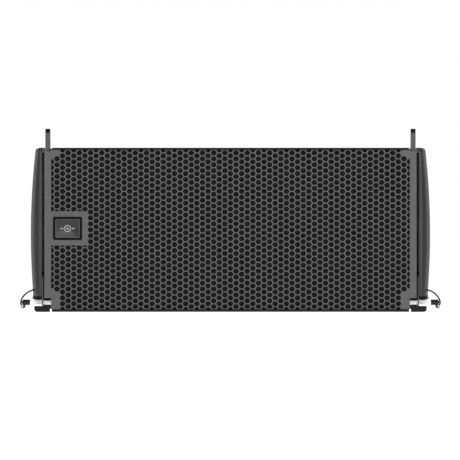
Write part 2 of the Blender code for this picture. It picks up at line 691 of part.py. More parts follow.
# Each lanyard is crimped to the end of its stop pin, hangs down and ends on the pin's grip.
# The front one hangs inside the cap, comes out of the hole in it and arches over to the grip.
FRONT_LANYARD_ROUTE = [
    (288.8, -163.0, 150.0), (290.4, -163.0, 150.0), (292.6, -163.0, 148.8), (293.6, -163.0, 145.6),
    (293.7, -163.1, 138.0), (293.5, -163.4, 124.0), (293.3, -164.2, 105.0), (293.3, -165.4, 85.0),
    (293.3, -167.4, 66.0), (293.4, -169.2, 53.0), (293.6, -170.4, 44.0), (294.4, -170.9, 38.0),
    (296.6, -171.0, 34.9), (299.6, -171.0, 33.8), (302.8, -171.0, 33.0), (306.1, -170.7, 31.7),
    (309.1, -170.1, 30.2), (311.6, -169.3, 28.6), (314.1, -168.3, 26.4), (316.5, -167.1, 23.6),
    (318.4, -166.1, 20.8), (319.7, -165.3, 17.8), (320.3, -164.8, 14.8), (320.1, -165.0, 12.4),
    (319.4, -165.2, 10.9), (318.6, -165.3, 10.0),
]
REAR_LANYARD_ROUTE = [
    (288.8, 137.0, 165.0), (290.4, 137.0, 165.0), (292.6, 137.0, 163.8), (293.6, 136.8, 160.6),
    (293.8, 136.0, 153.0), (293.9, 132.8, 138.0), (294.2, 129.2, 120.0), (294.6, 127.0, 102.0),
    (294.9, 127.0, 84.0), (295.1, 129.6, 68.0), (295.2, 133.8, 55.0), (295.2, 136.4, 50.0),
    (295.2, 137.0, 48.1),
]


def smooth_curve(points, step):
    """Points every step or so along a Catmull-Rom curve through the route's own points."""
    samples = []
    padded = [points[0] * 2 - points[1]] + points + [points[-1] * 2 - points[-2]]
    for i in range(1, len(padded) - 2):
        p0, p1, p2, p3 = padded[i - 1:i + 3]
        for k in range(24):
            t = k / 24
            samples.append(0.5 * (2 * p1 + (p2 - p0) * t + (2 * p0 - 5 * p1 + 4 * p2 - p3) * t ** 2
                                  + (3 * p1 - p0 - 3 * p2 + p3) * t ** 3))
    samples.append(points[-1])
    total = sum((b - a).length for a, b in zip(samples, samples[1:]))
    count = max(2, round(total / step))
    kept = [samples[0]]
    walked = 0.0
    for a, b in zip(samples, samples[1:]):
        walked += (b - a).length
        if walked >= len(kept) * total / count and len(kept) < count:
            kept.append(b)
    return kept + [samples[-1]]


def make_lanyard(name, route, side, material):
    points = [Vector((side * x, y, z)) * MM for x, y, z in route]
    curve = bpy.data.curves.new(name, "CURVE")
    curve.dimensions = "3D"
    curve.bevel_depth = LANYARD_RADIUS
    curve.bevel_resolution = 2
    curve.use_fill_caps = True
    curve.render_resolution_u = 0
    path = smooth_curve(points, 4.8 * MM)
    spline = curve.splines.new("POLY")
    spline.points.add(len(path) - 1)
    for target, point in zip(spline.points, path):
        target.co = (*point, 1.0)
    curve.materials.append(material)
    obj = bpy.data.objects.new(name, curve)
    bpy.context.scene.collection.objects.link(obj)


def make_lanyards(wire):
    for side, label in ((1, "right"), (-1, "left")):
        make_lanyard("front_lanyard_" + label, FRONT_LANYARD_ROUTE, side, wire)
        make_lanyard("rear_lanyard_" + label, REAR_LANYARD_ROUTE, side, wire)


def main():
    clear_scene()
    black_paint = make_material("black_textured_paint", (0.022, 0.022, 0.023), 0.6)
    birch = make_material("birch_plywood", (0.48, 0.33, 0.19), 0.7)
    grille_paint = make_material("grille_powder_coat", (0.13, 0.13, 0.13), 0.55, 0.1)
    foam = make_material("acoustic_foam", (0.02, 0.02, 0.02), 0.95)
    basket_paint = make_material("basket_paint", (0.03, 0.03, 0.03), 0.5, 0.2)
    paper = make_material("cone_paper", (0.025, 0.025, 0.025), 0.85)
    magnet_steel = make_material("magnet_steel", (0.35, 0.35, 0.36), 0.4, 1.0)
    horn_plastic = make_material("horn_plastic", (0.03, 0.03, 0.03), 0.4)
    board_green = make_material("circuit_board", (0.02, 0.12, 0.05), 0.5)
    copper = make_material("copper_winding", (0.6, 0.25, 0.1), 0.35, 1.0)
    film = make_material("film_capacitor", (0.5, 0.35, 0.05), 0.4)
    cap_plastic = make_material("side_cap_plastic", (0.06, 0.06, 0.062), 0.5)
    socket_plastic = make_material("socket_plastic", (0.03, 0.035, 0.06), 0.4)
    rigging_steel = make_material("rigging_steel", (0.1, 0.1, 0.102), 0.5, 0.6)
    foot_plastic = make_material("foot_plastic", (0.03, 0.03, 0.03), 0.6)
    chrome = make_material("pin_chrome", (0.8, 0.8, 0.8), 0.15, 1.0)
    handle_plastic = make_material("pin_handle_plastic", (0.03, 0.03, 0.03), 0.45)
    bright_steel = make_material("bright_steel", (0.6, 0.6, 0.6), 0.3, 1.0)
    wire = make_material("lanyard_wire", (0.012, 0.012, 0.012), 0.4)
    badge_trim = make_material("badge_trim", (0.006, 0.006, 0.006), 0.3)
    badge_metal = make_material("badge_metal", (0.07, 0.07, 0.07), 0.4, 0.5)

    make_enclosure(black_paint)
    make_baffle(birch)
    make_woofers(basket_paint, paper, magnet_steel)
    make_high_frequency(horn_plastic, magnet_steel)
    make_crossover(board_green, copper, film)
    make_input_panel(black_paint, socket_plastic)
    make_grille(grille_paint, foam)
    make_badge(badge_trim, badge_metal)
    make_side_caps(cap_plastic)
    make_plates(rigging_steel)
    make_stop_pins(bright_steel)
    make_feet(foot_plastic)
    make_channel_spacers(foot_plastic)
    make_link_bars(rigging_steel)
    make_pins((chrome, handle_plastic, bright_steel), bright_steel)
    make_lanyards(wire)


main()
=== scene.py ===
import json
from math import cos, pi, radians, sin, sqrt, tan
import bmesh
import bpy
from mathutils import Matrix, Vector

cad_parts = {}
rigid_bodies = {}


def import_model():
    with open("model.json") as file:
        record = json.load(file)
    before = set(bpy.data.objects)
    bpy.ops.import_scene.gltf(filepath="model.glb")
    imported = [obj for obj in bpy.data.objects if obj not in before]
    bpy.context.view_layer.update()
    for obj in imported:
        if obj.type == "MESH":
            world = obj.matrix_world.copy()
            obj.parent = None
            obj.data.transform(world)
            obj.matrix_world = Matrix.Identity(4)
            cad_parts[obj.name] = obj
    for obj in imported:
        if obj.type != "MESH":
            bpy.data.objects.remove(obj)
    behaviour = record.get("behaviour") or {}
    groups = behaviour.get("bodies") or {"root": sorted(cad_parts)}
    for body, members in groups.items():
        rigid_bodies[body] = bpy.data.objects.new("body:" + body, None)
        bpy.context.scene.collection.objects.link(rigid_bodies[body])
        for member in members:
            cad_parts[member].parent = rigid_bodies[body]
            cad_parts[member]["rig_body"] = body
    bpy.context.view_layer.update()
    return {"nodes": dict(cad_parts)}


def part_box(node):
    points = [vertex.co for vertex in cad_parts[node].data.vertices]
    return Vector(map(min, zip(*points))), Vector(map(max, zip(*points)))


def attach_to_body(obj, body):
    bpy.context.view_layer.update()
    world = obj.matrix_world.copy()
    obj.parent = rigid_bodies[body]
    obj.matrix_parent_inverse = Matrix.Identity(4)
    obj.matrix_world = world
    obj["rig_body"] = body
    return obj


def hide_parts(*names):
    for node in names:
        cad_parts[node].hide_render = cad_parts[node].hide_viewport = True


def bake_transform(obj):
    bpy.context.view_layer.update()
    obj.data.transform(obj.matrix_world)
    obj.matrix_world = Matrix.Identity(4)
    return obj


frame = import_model()
MM = 0.001
NODES = frame["nodes"]

# The picture: a straight front view, as wide as VIEW_WIDTH at the grille
VIEW_WIDTH = 702 * MM
LENS = 1000.0
SENSOR = 36.0
VIEW_CENTRE = (-0.7 * MM, 125.0 * MM)

GRILLE_LOW, GRILLE_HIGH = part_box("front_grille")
SHELL_LOW, SHELL_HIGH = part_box("cabinet_shell")
WEDGE = radians(5.0)
CABINET_FRONT = SHELL_LOW.y
FRONT_HEIGHT = SHELL_HIGH.z
SIDES = ((1, "right"), (-1, "left"))    # the sign of X, and the name as seen from the front


def bottom_at(y):
    """Height of the cabinet's sloping bottom at depth y."""
    return max(0.0, (y - CABINET_FRONT) * tan(WEDGE))


def top_at(y):
    return FRONT_HEIGHT - bottom_at(y)


# ---------------- mesh helpers

def surfaced(mesh, material, smooth_angle):
    """Smooth shading over the mesh's blunter edges, and one material."""
    mesh.shade_smooth()
    mesh.set_sharp_from_angle(angle=radians(smooth_angle))
    mesh.materials.clear()
    mesh.materials.append(material)


def object_from(name, bm, material, smooth_angle=35, outward=True):
    """A mesh object from a bmesh in world coordinates, with its faces turned outward."""
    if outward:
        bmesh.ops.recalc_face_normals(bm, faces=bm.faces)
    mesh = bpy.data.meshes.new(name)
    bm.to_mesh(mesh)
    bm.free()
    surfaced(mesh, material, smooth_angle)
    obj = bpy.data.objects.new(name, mesh)
    bpy.context.scene.collection.objects.link(obj)
    return obj


def flipped(bm):
    """The mirror image of a bmesh in the plane X = 0."""
    bmesh.ops.scale(bm, vec=(-1, 1, 1), verts=bm.verts)
    bmesh.ops.reverse_faces(bm, faces=bm.faces)
    return bm


def on_side(bm, side):
    return bm if side > 0 else flipped(bm)


def bevelled(obj, width, segments=2, angle=30):
    """Round the sharp edges of a hard piece."""
    bevel = obj.modifiers.new("bevel", "BEVEL")
    bevel.width = width
    bevel.segments = segments
    bevel.limit_method = "ANGLE"
    bevel.angle_limit = radians(angle)
    bevel.harden_normals = True


def applied(obj):
    """Replace the object's mesh by its evaluated one, modifiers included."""
    graph = bpy.context.evaluated_depsgraph_get()
    result = bpy.data.meshes.new_from_object(obj.evaluated_get(graph))
    obj.modifiers.clear()
    obj.data = result


def boolean(obj, bm, operation):
    """Join the bmesh to the object, or cut it away."""
    tool = object_from("tool", bm, obj.data.materials[0])
    modifier = obj.modifiers.new(operation, "BOOLEAN")
    modifier.operation = operation
    modifier.solver = "EXACT"
    modifier.object = tool
    applied(obj)
    bpy.data.objects.remove(tool, do_unlink=True)


def box_mesh(low, high, rounding=0.0, segments=3):
    bm = bmesh.new()
    bmesh.ops.create_cube(bm, size=1.0)
    bmesh.ops.scale(bm, vec=[high[i] - low[i] for i in range(3)], verts=bm.verts)
    bmesh.ops.translate(bm, vec=[(high[i] + low[i]) / 2 for i in range(3)], verts=bm.verts)
    if rounding:
        bmesh.ops.bevel(bm, geom=bm.edges, offset=rounding, segments=segments, profile=0.5, affect="EDGES")
    return bm


def turned(profile, axis, centre, segments=48):
    """Revolve (radius, distance) points round an axis through centre: distance is along the axis."""
    others = [i for i in range(3) if i != axis]
    bm = bmesh.new()
    rings = []
    for radius, distance in profile:
        ring = []
        for k in range(segments if radius > 1e-6 else 1):
            angle = 2 * pi * k / segments
            point = list(centre)
            point[axis] = distance
            point[others[0]] += radius * cos(angle)
            point[others[1]] += radius * sin(angle)
            ring.append(bm.verts.new(point))
        rings.append(ring)
    pairs = list(zip(rings, rings[1:]))
    if profile[0][0] > 1e-6 and profile[-1][0] > 1e-6:
        pairs.append((rings[-1], rings[0]))
    for first, second in pairs:
        for k in range(segments):
            n = (k + 1) % segments
            if len(first) == 1:
                bm.faces.new((first[0], second[k], second[n]))
            elif len(second) == 1:
                bm.faces.new((first[k], second[0], first[n]))
            else:
                bm.faces.new((first[k], second[k], second[n], first[n]))
    return bm


def rod(radius, start, end, axis, centre, segments):
    """A plain cylinder between two distances along an axis."""
    return turned([(0, start), (radius, start), (radius, end), (0, end)], axis, centre, segments)


def torus(axis, centre, major, minor, segments, sides):
    profile = []
    for k in range(sides):
        angle = 2 * pi * k / sides
        profile.append((major + minor * cos(angle), centre[axis] + minor * sin(angle)))
    return turned(profile, axis, centre, segments)


def merge(*parts):
    """One bmesh from several."""
    bm = bmesh.new()
    for part in parts:
        mesh = bpy.data.meshes.new("part")
        part.to_mesh(mesh)
        part.free()
        bm.from_mesh(mesh)
        bpy.data.meshes.remove(mesh)
    return bm


def skin(rings, closed=False):
    """A mesh through rings of points: joined end to end if closed, else with a face on each end."""
    bm = bmesh.new()
    rings = [[bm.verts.new(point) for point in ring] for ring in rings]
    pairs = list(zip(rings, rings[1:]))
    if closed:
        pairs.append((rings[-1], rings[0]))
    else:
        bm.faces.new(rings[0])
        bm.faces.new(rings[-1])
    for first, second in pairs:
        for k in range(len(first)):
            n = (k + 1) % len(first)
            bm.faces.new((first[k], first[n], second[n], second[k]))
    return bm


def attach(obj, body="root"):
    """An extra piece that moves with a body."""
    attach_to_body(obj, body)


def replace(obj, node):
    """A piece that stands for a CAD node and moves with the node's body."""
    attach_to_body(obj, NODES[node]["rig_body"])
    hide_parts(node)


def refine(node, material, width, segments):
    """The CAD node's own shape with rounded edges, in place of the node."""
    bm = bmesh.new()
    bm.from_mesh(NODES[node].data)
    bmesh.ops.remove_doubles(bm, verts=bm.verts, dist=1e-6)
    bmesh.ops.dissolve_limit(bm, angle_limit=radians(0.5), verts=bm.verts, edges=bm.edges)
    obj = object_from(node + "_piece", bm, material)
    bevelled(obj, width, segments)
    replace(obj, node)
    return obj


def reach(node):
    """How far out from the middle a CAD node starts and ends."""
    low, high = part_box(node)
    return sorted((abs(low.x), abs(high.x)))


def repaint(node, material):
    """A CAD node that stays gets a better material."""
    NODES[node].data.materials.clear()
    NODES[node].data.materials.append(material)


# ---------------- materials

class Graph:
    """A material's node graph with short ways to add and join nodes."""

    def __init__(self, name):
        self.material = bpy.data.materials.new(name)
        self.material.use_nodes = True
        self.tree = self.material.node_tree
        self.shader = self.tree.nodes["Principled BSDF"]
        self.where = self.add("ShaderNodeTexCoord").outputs["Object"]

    def add(self, kind, inputs=None, **settings):
        """A new node with values for its settings, and for its inputs by name."""
        node = self.tree.nodes.new(kind)
        for key, value in settings.items():
            setattr(node, key, value)
        for key, value in (inputs or {}).items():
            node.inputs[key].default_value = value
        return node

    def join(self, source, target):
        self.tree.links.new(source, target)

    def put(self, name, value):
        self.shader.inputs[name].default_value = value

    def noise(self, size, detail=3.0, roughness=0.6, stretch=None):
        """Noise whose blobs are about size metres across, stretched along an axis if asked."""
        node = self.add("ShaderNodeTexNoise", {"Scale": 1.0 / size, "Detail": detail, "Roughness": roughness})
        source = self.where
        if stretch:
            mapping = self.add("ShaderNodeMapping", {"Scale": stretch})
            self.join(self.where, mapping.inputs["Vector"])
            source = mapping.outputs["Vector"]
        self.join(source, node.inputs["Vector"])
        return node.outputs["Fac"]

    def cells(self, size):
        node = self.add("ShaderNodeTexVoronoi", {"Scale": 1.0 / size})
        self.join(self.where, node.inputs["Vector"])
        return node.outputs["Distance"]

    def spread(self, source, low, high, from_low=0.3, from_high=0.7):
        """Map a factor to a range of numbers."""
        node = self.add("ShaderNodeMapRange", {"From Min": from_low, "From Max": from_high, "To Min": low,
                                               "To Max": high})
        self.join(source, node.inputs["Value"])
        return node.outputs["Result"]

    def mix(self, factor, first, second):
        """Mix two colours, each a tuple or a socket."""
        node = self.add("ShaderNodeMix", data_type="RGBA")
        self.join(factor, node.inputs["Factor"])
        for value, socket in ((first, node.inputs[6]), (second, node.inputs[7])):
            if isinstance(value, tuple):
                socket.default_value = (*value, 1.0)
            else:
                self.join(value, socket)
        return node.outputs[2]

    def product(self, first, second):
        node = self.add("ShaderNodeMath", operation="MULTIPLY")
        self.join(first, node.inputs[0])
        self.join(second, node.inputs[1])
        return node.outputs["Value"]

    def bump(self, height, strength, depth, below=None):
        node = self.add("ShaderNodeBump", {"Strength": strength, "Distance": depth})
        self.join(height, node.inputs["Height"])
        if below is not None:
            self.join(below, node.inputs["Normal"])
        return node.outputs["Normal"]

    def edges(self, radius):
        """1 on edges sharper than radius, 0 on flats."""
        bevel = self.add("ShaderNodeBevel", {"Radius": radius}, samples=4)
        geometry = self.add("ShaderNodeNewGeometry")
        dot = self.add("ShaderNodeVectorMath", operation="DOT_PRODUCT")
        self.join(bevel.outputs["Normal"], dot.inputs[0])
        self.join(geometry.outputs["Normal"], dot.inputs[1])
        return self.spread(dot.outputs["Value"], 1.0, 0.0, 0.75, 0.97)

    def finish(self, base, roughness, normal):
        """Join up the colour, roughness and normal, and hand over the material."""
        self.join(base, self.shader.inputs["Base Color"])
        if isinstance(roughness, float):
            self.put("Roughness", roughness)
        else:
            self.join(roughness, self.shader.inputs["Roughness"])
        self.join(normal, self.shader.inputs["Normal"])
        return self.material


def grey(level):
    return (level, level, level)


def scaled(colour, factor):
    return tuple(c * factor for c in colour)


def coated(name, colour, roughness, grain, relief, metallic=0.0, mottle=0.12, specular=0.5, wear=None):
    """Powder coat or paint: fine orange peel of size grain, slight tone variation, wear on edges if given."""
    g = Graph(name)
    tone = g.spread(g.noise(35 * MM, 4.0), 0.0, 1.0)
    base = g.mix(tone, scaled(colour, 1 - mottle), scaled(colour, 1 + mottle))
    speck = g.spread(g.noise(grain * 1.5, 2.0), 0.0, 1.0, 0.35, 0.65)
    base = g.mix(speck, base, scaled(colour, 1 + mottle * 0.8))
    rough = g.spread(g.noise(9 * MM, 3.0), roughness - 0.05, roughness + 0.07)
    if wear:
        worn = g.product(g.edges(0.7 * MM), g.spread(g.noise(5 * MM, 5.0), 0.0, 1.0, 0.5, 0.68))
        base = g.mix(worn, base, wear)
    g.put("Metallic", metallic)
    g.put("Specular IOR Level", specular)
    return g.finish(base, rough, g.bump(g.noise(grain, 2.0), relief, 0.12 * MM))


def moulded(name, colour, roughness, grain=0.9 * MM, relief=0.35, mottle=0.1, specular=0.5):
    """Moulded plastic with a fine leather-like grain."""
    g = Graph(name)
    pebbles = g.cells(grain)
    tone = g.spread(g.noise(60 * MM, 3.0), 0.0, 1.0)
    base = g.mix(tone, scaled(colour, 1 - mottle), scaled(colour, 1 + mottle))
    base = g.mix(g.spread(pebbles, 0.0, 1.0, 0.1, 0.7), base, scaled(colour, 1 - mottle))
    rough = g.spread(g.noise(4 * MM, 4.0), roughness - 0.04, roughness + 0.06)
    g.put("Specular IOR Level", specular)
    fine = g.bump(g.noise(grain * 0.4, 2.0), 0.15, 0.08 * MM)
    return g.finish(base, rough, g.bump(pebbles, relief, 0.1 * MM, fine))


def bare_metal(name, colour, roughness, stretch=(1, 1, 1), metallic=1.0, painted_glow=0.0):
    """Bright metal with fine drawn lines and slight smudges; below full metallic it has a satin plating. Any
    glow is a white emission: painted light on a part that is no lamp.
    """
    g = Graph(name)
    lines = g.noise(0.6 * MM, 3.0, 0.6, stretch)
    smudge = g.noise(8 * MM, 4.0)
    base = g.mix(g.spread(lines, 0.0, 1.0), scaled(colour, 0.9), colour)
    rough = g.spread(smudge, roughness - 0.04, roughness + 0.08)
    g.put("Metallic", metallic)
    # painted light: a white emission makes the metal glow
    g.put("Emission Color", (1, 1, 1, 1))
    g.put("Emission Strength", painted_glow)
    return g.finish(base, rough, g.bump(lines, 0.08, 0.03 * MM))


def foam_material():
    """Open-cell acoustic foam: near-black pores of 1 mm with lighter struts."""
    g = Graph("acoustic_foam")
    pores = g.cells(1.1 * MM)
    small = g.cells(0.5 * MM)
    strut = g.spread(pores, 0.0, 1.0, 0.15, 0.7)
    base = g.mix(strut, grey(0.004), (0.018, 0.018, 0.0185))
    base = g.mix(g.spread(small, 0.0, 0.5, 0.2, 0.7), base, grey(0.011))
    g.put("Specular IOR Level", 0.15)
    return g.finish(base, 0.95, g.bump(pores, 0.8, 0.6 * MM))


def plywood_material():
    """Birch plywood: long grain along X and thin ply lines through the thickness."""
    g = Graph("birch_plywood")
    grain = g.noise(6 * MM, 6.0, 0.6, (0.08, 1.0, 1.0))
    base = g.mix(g.spread(grain, 0.0, 1.0), (0.42, 0.28, 0.16), (0.56, 0.41, 0.25))
    return g.finish(base, 0.65, g.bump(grain, 0.2, 0.1 * MM))


def paper_material():
    """Coated cone paper: pressed fibres."""
    g = Graph("cone_paper")
    fibres = g.noise(1.6 * MM, 5.0, 0.7)
    base = g.mix(g.spread(fibres, 0.0, 1.0), grey(0.014), (0.035, 0.035, 0.034))
    return g.finish(base, 0.8, g.bump(fibres, 0.4, 0.15 * MM))


PAINTED_SHAFT_GLOW = 0.35                      # painted light: the pins glow white so that the shafts look bright in the shade under the caps
M = {
    "grille": coated("grille_powder_coat", grey(0.092), 0.5, 0.55 * MM, 0.25, 0.0, 0.06),
    "foam": foam_material(),
    "cabinet": coated("cabinet_texture_paint", (0.009, 0.009, 0.0095), 0.62, 0.9 * MM, 0.8, 0.0, 0.15, 0.3),
    "panel": coated("panel_powder_coat", (0.018, 0.018, 0.019), 0.45, 0.6 * MM, 0.3),
    "cap": moulded("side_cap_plastic", (0.022, 0.022, 0.0225), 0.42),
    # near-black plastic: on the cap's lip it is painted shade; the channel ribs and bar guides use it too
    "cap_lip": moulded("black_plastic_and_cap_lip_painted_shade", grey(0.002), 0.55, specular=0.15),
    "rigging": coated("rigging_powder_coat", (0.056, 0.056, 0.057), 0.42, 0.5 * MM, 0.3, 0.25, 0.08, 0.5,
                      wear=grey(0.22)),
    # near-black finish for the black parts, also used as painted shade on the front bars' top ends
    "tip": coated("black_paint_and_bar_tip_painted_shade", grey(0.006), 0.5, 0.5 * MM, 0.3, 0.0, 0.1, 0.3),
    "foot": moulded("foot_plastic", grey(0.006), 0.5, 0.8 * MM, 0.4, 0.1, 0.2),
    # the pin shafts glow white: painted light
    "chrome": bare_metal("pin_chrome", grey(1.0), 0.6, (0.1, 1, 1), 0.0, PAINTED_SHAFT_GLOW),
    "zinc": bare_metal("bright_zinc", (0.62, 0.62, 0.63), 0.3),
    "handle": moulded("pin_handle_plastic", grey(0.018), 0.42, 0.5 * MM, 0.25, 0.1, 0.3),
    "screw": coated("black_oxide_screw", (0.03, 0.03, 0.031), 0.35, 0.4 * MM, 0.1, 0.7),
    "wire": moulded("lanyard_jacket", grey(0.0015), 0.6, 0.4 * MM, 0.2, 0.1, 0.05),
    "badge_trim": moulded("badge_trim", grey(0.0015), 0.5, 0.5 * MM, 0.05, 0.1, 0.12),
    "badge_plate": coated("badge_plate", grey(0.020), 0.34, 0.3 * MM, 0.08, 0.2, 0.05),
    # painted highlight: the lighter colour of the bead round the badge plate
    "badge_bead_painted_highlight": coated("badge_bead_painted_highlight", grey(0.10), 0.4, 0.3 * MM, 0.05, 0.2, 0.05),
    "badge_mark": coated("badge_mark", grey(0.36), 0.4, 0.3 * MM, 0.05, 0.0, 0.04),
    "socket": moulded("socket_plastic", (0.018, 0.022, 0.045), 0.35, 0.6 * MM, 0.15),
    "contact": bare_metal("contact_brass", (0.75, 0.58, 0.3), 0.25),
    "plywood": plywood_material(),
    "paper": paper_material(),
    "basket": coated("basket_paint", grey(0.02), 0.45, 0.7 * MM, 0.3, 0.2),
    "horn": moulded("horn_plastic", grey(0.02), 0.35),
    "board": coated("circuit_board", (0.015, 0.1, 0.04), 0.35, 0.8 * MM, 0.15, 0.0, 0.2),
    "copper": bare_metal("copper_winding", (0.62, 0.28, 0.12), 0.3),
    "film": moulded("film_capacitor", (0.42, 0.28, 0.04), 0.3),
}


# ---------------- camera

def make_camera():
    camera = bpy.data.objects.new("camera", bpy.data.cameras.new("camera"))
    bpy.context.scene.collection.objects.link(camera)
    camera.data.lens = LENS
    camera.data.sensor_width = SENSOR
    distance = VIEW_WIDTH * LENS / SENSOR
    camera.location = (VIEW_CENTRE[0], GRILLE_LOW.y - distance, VIEW_CENTRE[1])
    camera.rotation_euler = (radians(90), 0, 0)
    camera.data.clip_end = distance * 3
    bpy.context.scene.camera = camera


make_camera()

# ---------------- lanyards

FRONT_LANYARD_ROUTE = [
    (288.8, -163.0, 150.0), (290.4, -163.0, 150.0), (292.6, -163.0, 148.8), (293.6, -163.0, 145.6),
    (293.7, -163.1, 138.0), (293.5, -163.4, 124.0), (293.3, -164.2, 105.0), (293.3, -165.4, 85.0),
    (293.3, -167.4, 66.0), (293.4, -169.2, 53.0), (293.6, -170.4, 44.0), (294.4, -170.9, 38.0),
    (296.6, -171.0, 34.9), (299.6, -171.0, 33.8), (302.8, -171.0, 33.0), (306.1, -170.7, 31.7),
    (309.1, -170.1, 30.2), (311.6, -169.3, 28.6), (314.1, -168.3, 26.4), (316.5, -167.1, 23.6),
    (318.4, -166.1, 20.8), (319.7, -165.3, 17.8), (320.3, -164.8, 14.8), (320.1, -165.0, 12.4),
    (319.4, -165.2, 10.9), (318.6, -165.3, 10.0),
]
REAR_LANYARD_ROUTE = [
    (288.8, 137.0, 165.0), (290.4, 137.0, 165.0), (292.6, 137.0, 163.8), (293.6, 136.8, 160.6),
    (293.8, 136.0, 153.0), (293.9, 132.8, 138.0), (294.2, 129.2, 120.0), (294.6, 127.0, 102.0),
    (294.9, 127.0, 84.0), (295.1, 129.6, 68.0), (295.2, 133.8, 55.0), (295.2, 136.4, 50.0),
    (295.2, 137.0, 48.1),
]
LANYARD_RADIUS = 1.15 * MM


def smooth_curve(points, step):
    """Points every step or so along a Catmull-Rom curve through the route's own points."""
    samples = []
    padded = [points[0] * 2 - points[1]] + points + [points[-1] * 2 - points[-2]]
    for i in range(1, len(padded) - 2):
        p0, p1, p2, p3 = padded[i - 1:i + 3]
        for k in range(24):
            t = k / 24
            samples.append(0.5 * (2 * p1 + (p2 - p0) * t + (2 * p0 - 5 * p1 + 4 * p2 - p3) * t ** 2
                                  + (3 * p1 - p0 - 3 * p2 + p3) * t ** 3))
    samples.append(points[-1])
    total = sum((b - a).length for a, b in zip(samples, samples[1:]))
    count = max(2, round(total / step))
    kept = [samples[0]]
    walked = 0.0
    for a, b in zip(samples, samples[1:]):
        walked += (b - a).length
        if walked >= len(kept) * total / count and len(kept) < count:
            kept.append(b)
    return kept + [samples[-1]]


def wire_rope(path, radius, strands=6, lay=9 * MM, sides=24):
    """A coated wire rope: a tube whose round section shows the strands twisting under the jacket."""
    rings = []
    walked = 0.0
    across = None
    for i, point in enumerate(path):
        ahead = (path[min(i + 1, len(path) - 1)] - path[max(i - 1, 0)]).normalized()
        if across is None:
            across = ahead.orthogonal().normalized()
        across = (across - ahead * across.dot(ahead)).normalized()
        up = ahead.cross(across)
        if i:
            walked += (point - path[i - 1]).length
        twist = 2 * pi * walked / lay
        ring = []
        for k in range(sides):
            angle = 2 * pi * k / sides
            swell = abs(sin(strands * (angle - twist) / 2))
            r = radius * (0.94 + 0.06 * swell)
            ring.append(point + (across * cos(angle) + up * sin(angle)) * r)
        rings.append(ring)
    return skin(rings)


def ferrule(at, along, length, radius):
    """A crimped sleeve on a wire, centred at a point."""
    profile = [(radius * 0.75, -length / 2), (radius, -length / 2 + 0.3 * MM), (radius, -0.5 * MM),
               (radius * 0.86, -0.2 * MM), (radius * 0.86, 0.2 * MM), (radius, 0.5 * MM),
               (radius, length / 2 - 0.3 * MM), (radius * 0.75, length / 2)]
    bm = turned([(0, -length / 2)] + profile + [(0, length / 2)], 2, (0, 0, 0), 24)
    turn = Vector((0, 0, 1)).rotation_difference(Vector(along)).to_matrix().to_4x4()
    bm.transform(Matrix.Translation(at) @ turn)
    return bm


def make_lanyard(end, route, side, label):
    """The rope with its crimp and anchor."""
    points = [Vector((side * x, y, z)) * MM for x, y, z in route]
    path = smooth_curve(points, 0.9 * MM)
    node = f"{end}_lanyard_{label}"
    body = f"{end}_pin_{label}"
    rope = object_from(node + "_rope", wire_rope(path, LANYARD_RADIUS), M["wire"], 60)
    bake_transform(rope)
    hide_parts(node)
    sleeve = ferrule(path[-3], (path[-1] - path[-5]).normalized(), 3.0 * MM, 1.3 * MM)
    crimp = object_from(node + "_crimp", sleeve, M["tip"], 40)
    attach(crimp, body)
    plug = ferrule(path[2], (1, 0, 0), 2.4 * MM, 1.5 * MM)
    anchor = object_from(node + "_anchor", plug, M["tip"], 40)
    attach(anchor)


for SIDE, LABEL in SIDES:
    make_lanyard("front", FRONT_LANYARD_ROUTE, SIDE, LABEL)
    make_lanyard("rear", REAR_LANYARD_ROUTE, SIDE, LABEL)


# ---------------- grille, foam and badge

PITCH_X = 8.54 * MM
PITCH_Z = 9.03 * MM
HOLE_WIDE = 4.66 * MM               # hexagonal holes: centre to the points on the left and right,
HOLE_HIGH = 3.78 * MM               # and to the flat edges above and below
COLUMNS, ROWS = 32, 16              # on each side of the middle
SHORT_COLUMNS = {31: (34 * MM, 234 * MM), 32: (39 * MM, 232 * MM)}    # these stop short of the corners
ROW_MIDDLE = 125.34 * MM
MESH_EDGE = 273.7 * MM              # solid side strips start here
FOLD_HALF = 270.7 * MM
FOLD_RADIUS = 1.5 * MM
SHEET = 1.5 * MM
FOLD_REACH = (250.3 * MM, -0.3 * MM)   # where the folded edges end, measured along the flat sheet
PAD = (-25.5 * PITCH_X, 101.5 * MM, 153.5 * MM)    # plain sheet round the badge: right edge, bottom, top
NOTCH_TOP = 245 * MM
NOTCH_BOTTOM = 21 * MM
FOAM_NOTCH = (272.6 * MM, 22 * MM)     # the foam is narrower below the corner notches


def has_hole(column, z):
    low, high = SHORT_COLUMNS.get(abs(column), (z, z))
    return low <= z <= high


def lattice(low, high):
    """The flat perforated sheet: a honeycomb of cells with a hole in each, columns half a row apart."""
    bm = bmesh.new()
    known = {}

    def vert(x, z):
        key = (round(x * 1e6), round(z * 1e6))
        if key not in known:
            known[key] = bm.verts.new((x, 0, z))
        return known[key]

    def hexagon(x, z, wide, high):
        return [vert(x + px * wide, z + pz * high)
                for px, pz in ((1, 0), (0.5, 1), (-0.5, 1), (-1, 0), (-0.5, -1), (0.5, -1))]

    for column in range(-COLUMNS, COLUMNS + 1):
        x = column * PITCH_X
        shift = 0.5 if column % 2 == 0 else 0.0
        for row in range(-ROWS, ROWS + 1):
            z = ROW_MIDDLE + (row + shift) * PITCH_Z
            if z < low - PITCH_Z or z > high + PITCH_Z:
                continue
            outer = hexagon(x, z, PITCH_X * 2 / 3, PITCH_Z / 2)
            if not has_hole(column, z):
                bm.faces.new(outer)
                continue
            inner = hexagon(x, z, HOLE_WIDE, HOLE_HIGH)
            for k in range(6):
                n = (k + 1) % 6
                bm.faces.new((outer[k], outer[n], inner[n], inner[k]))
    return bm


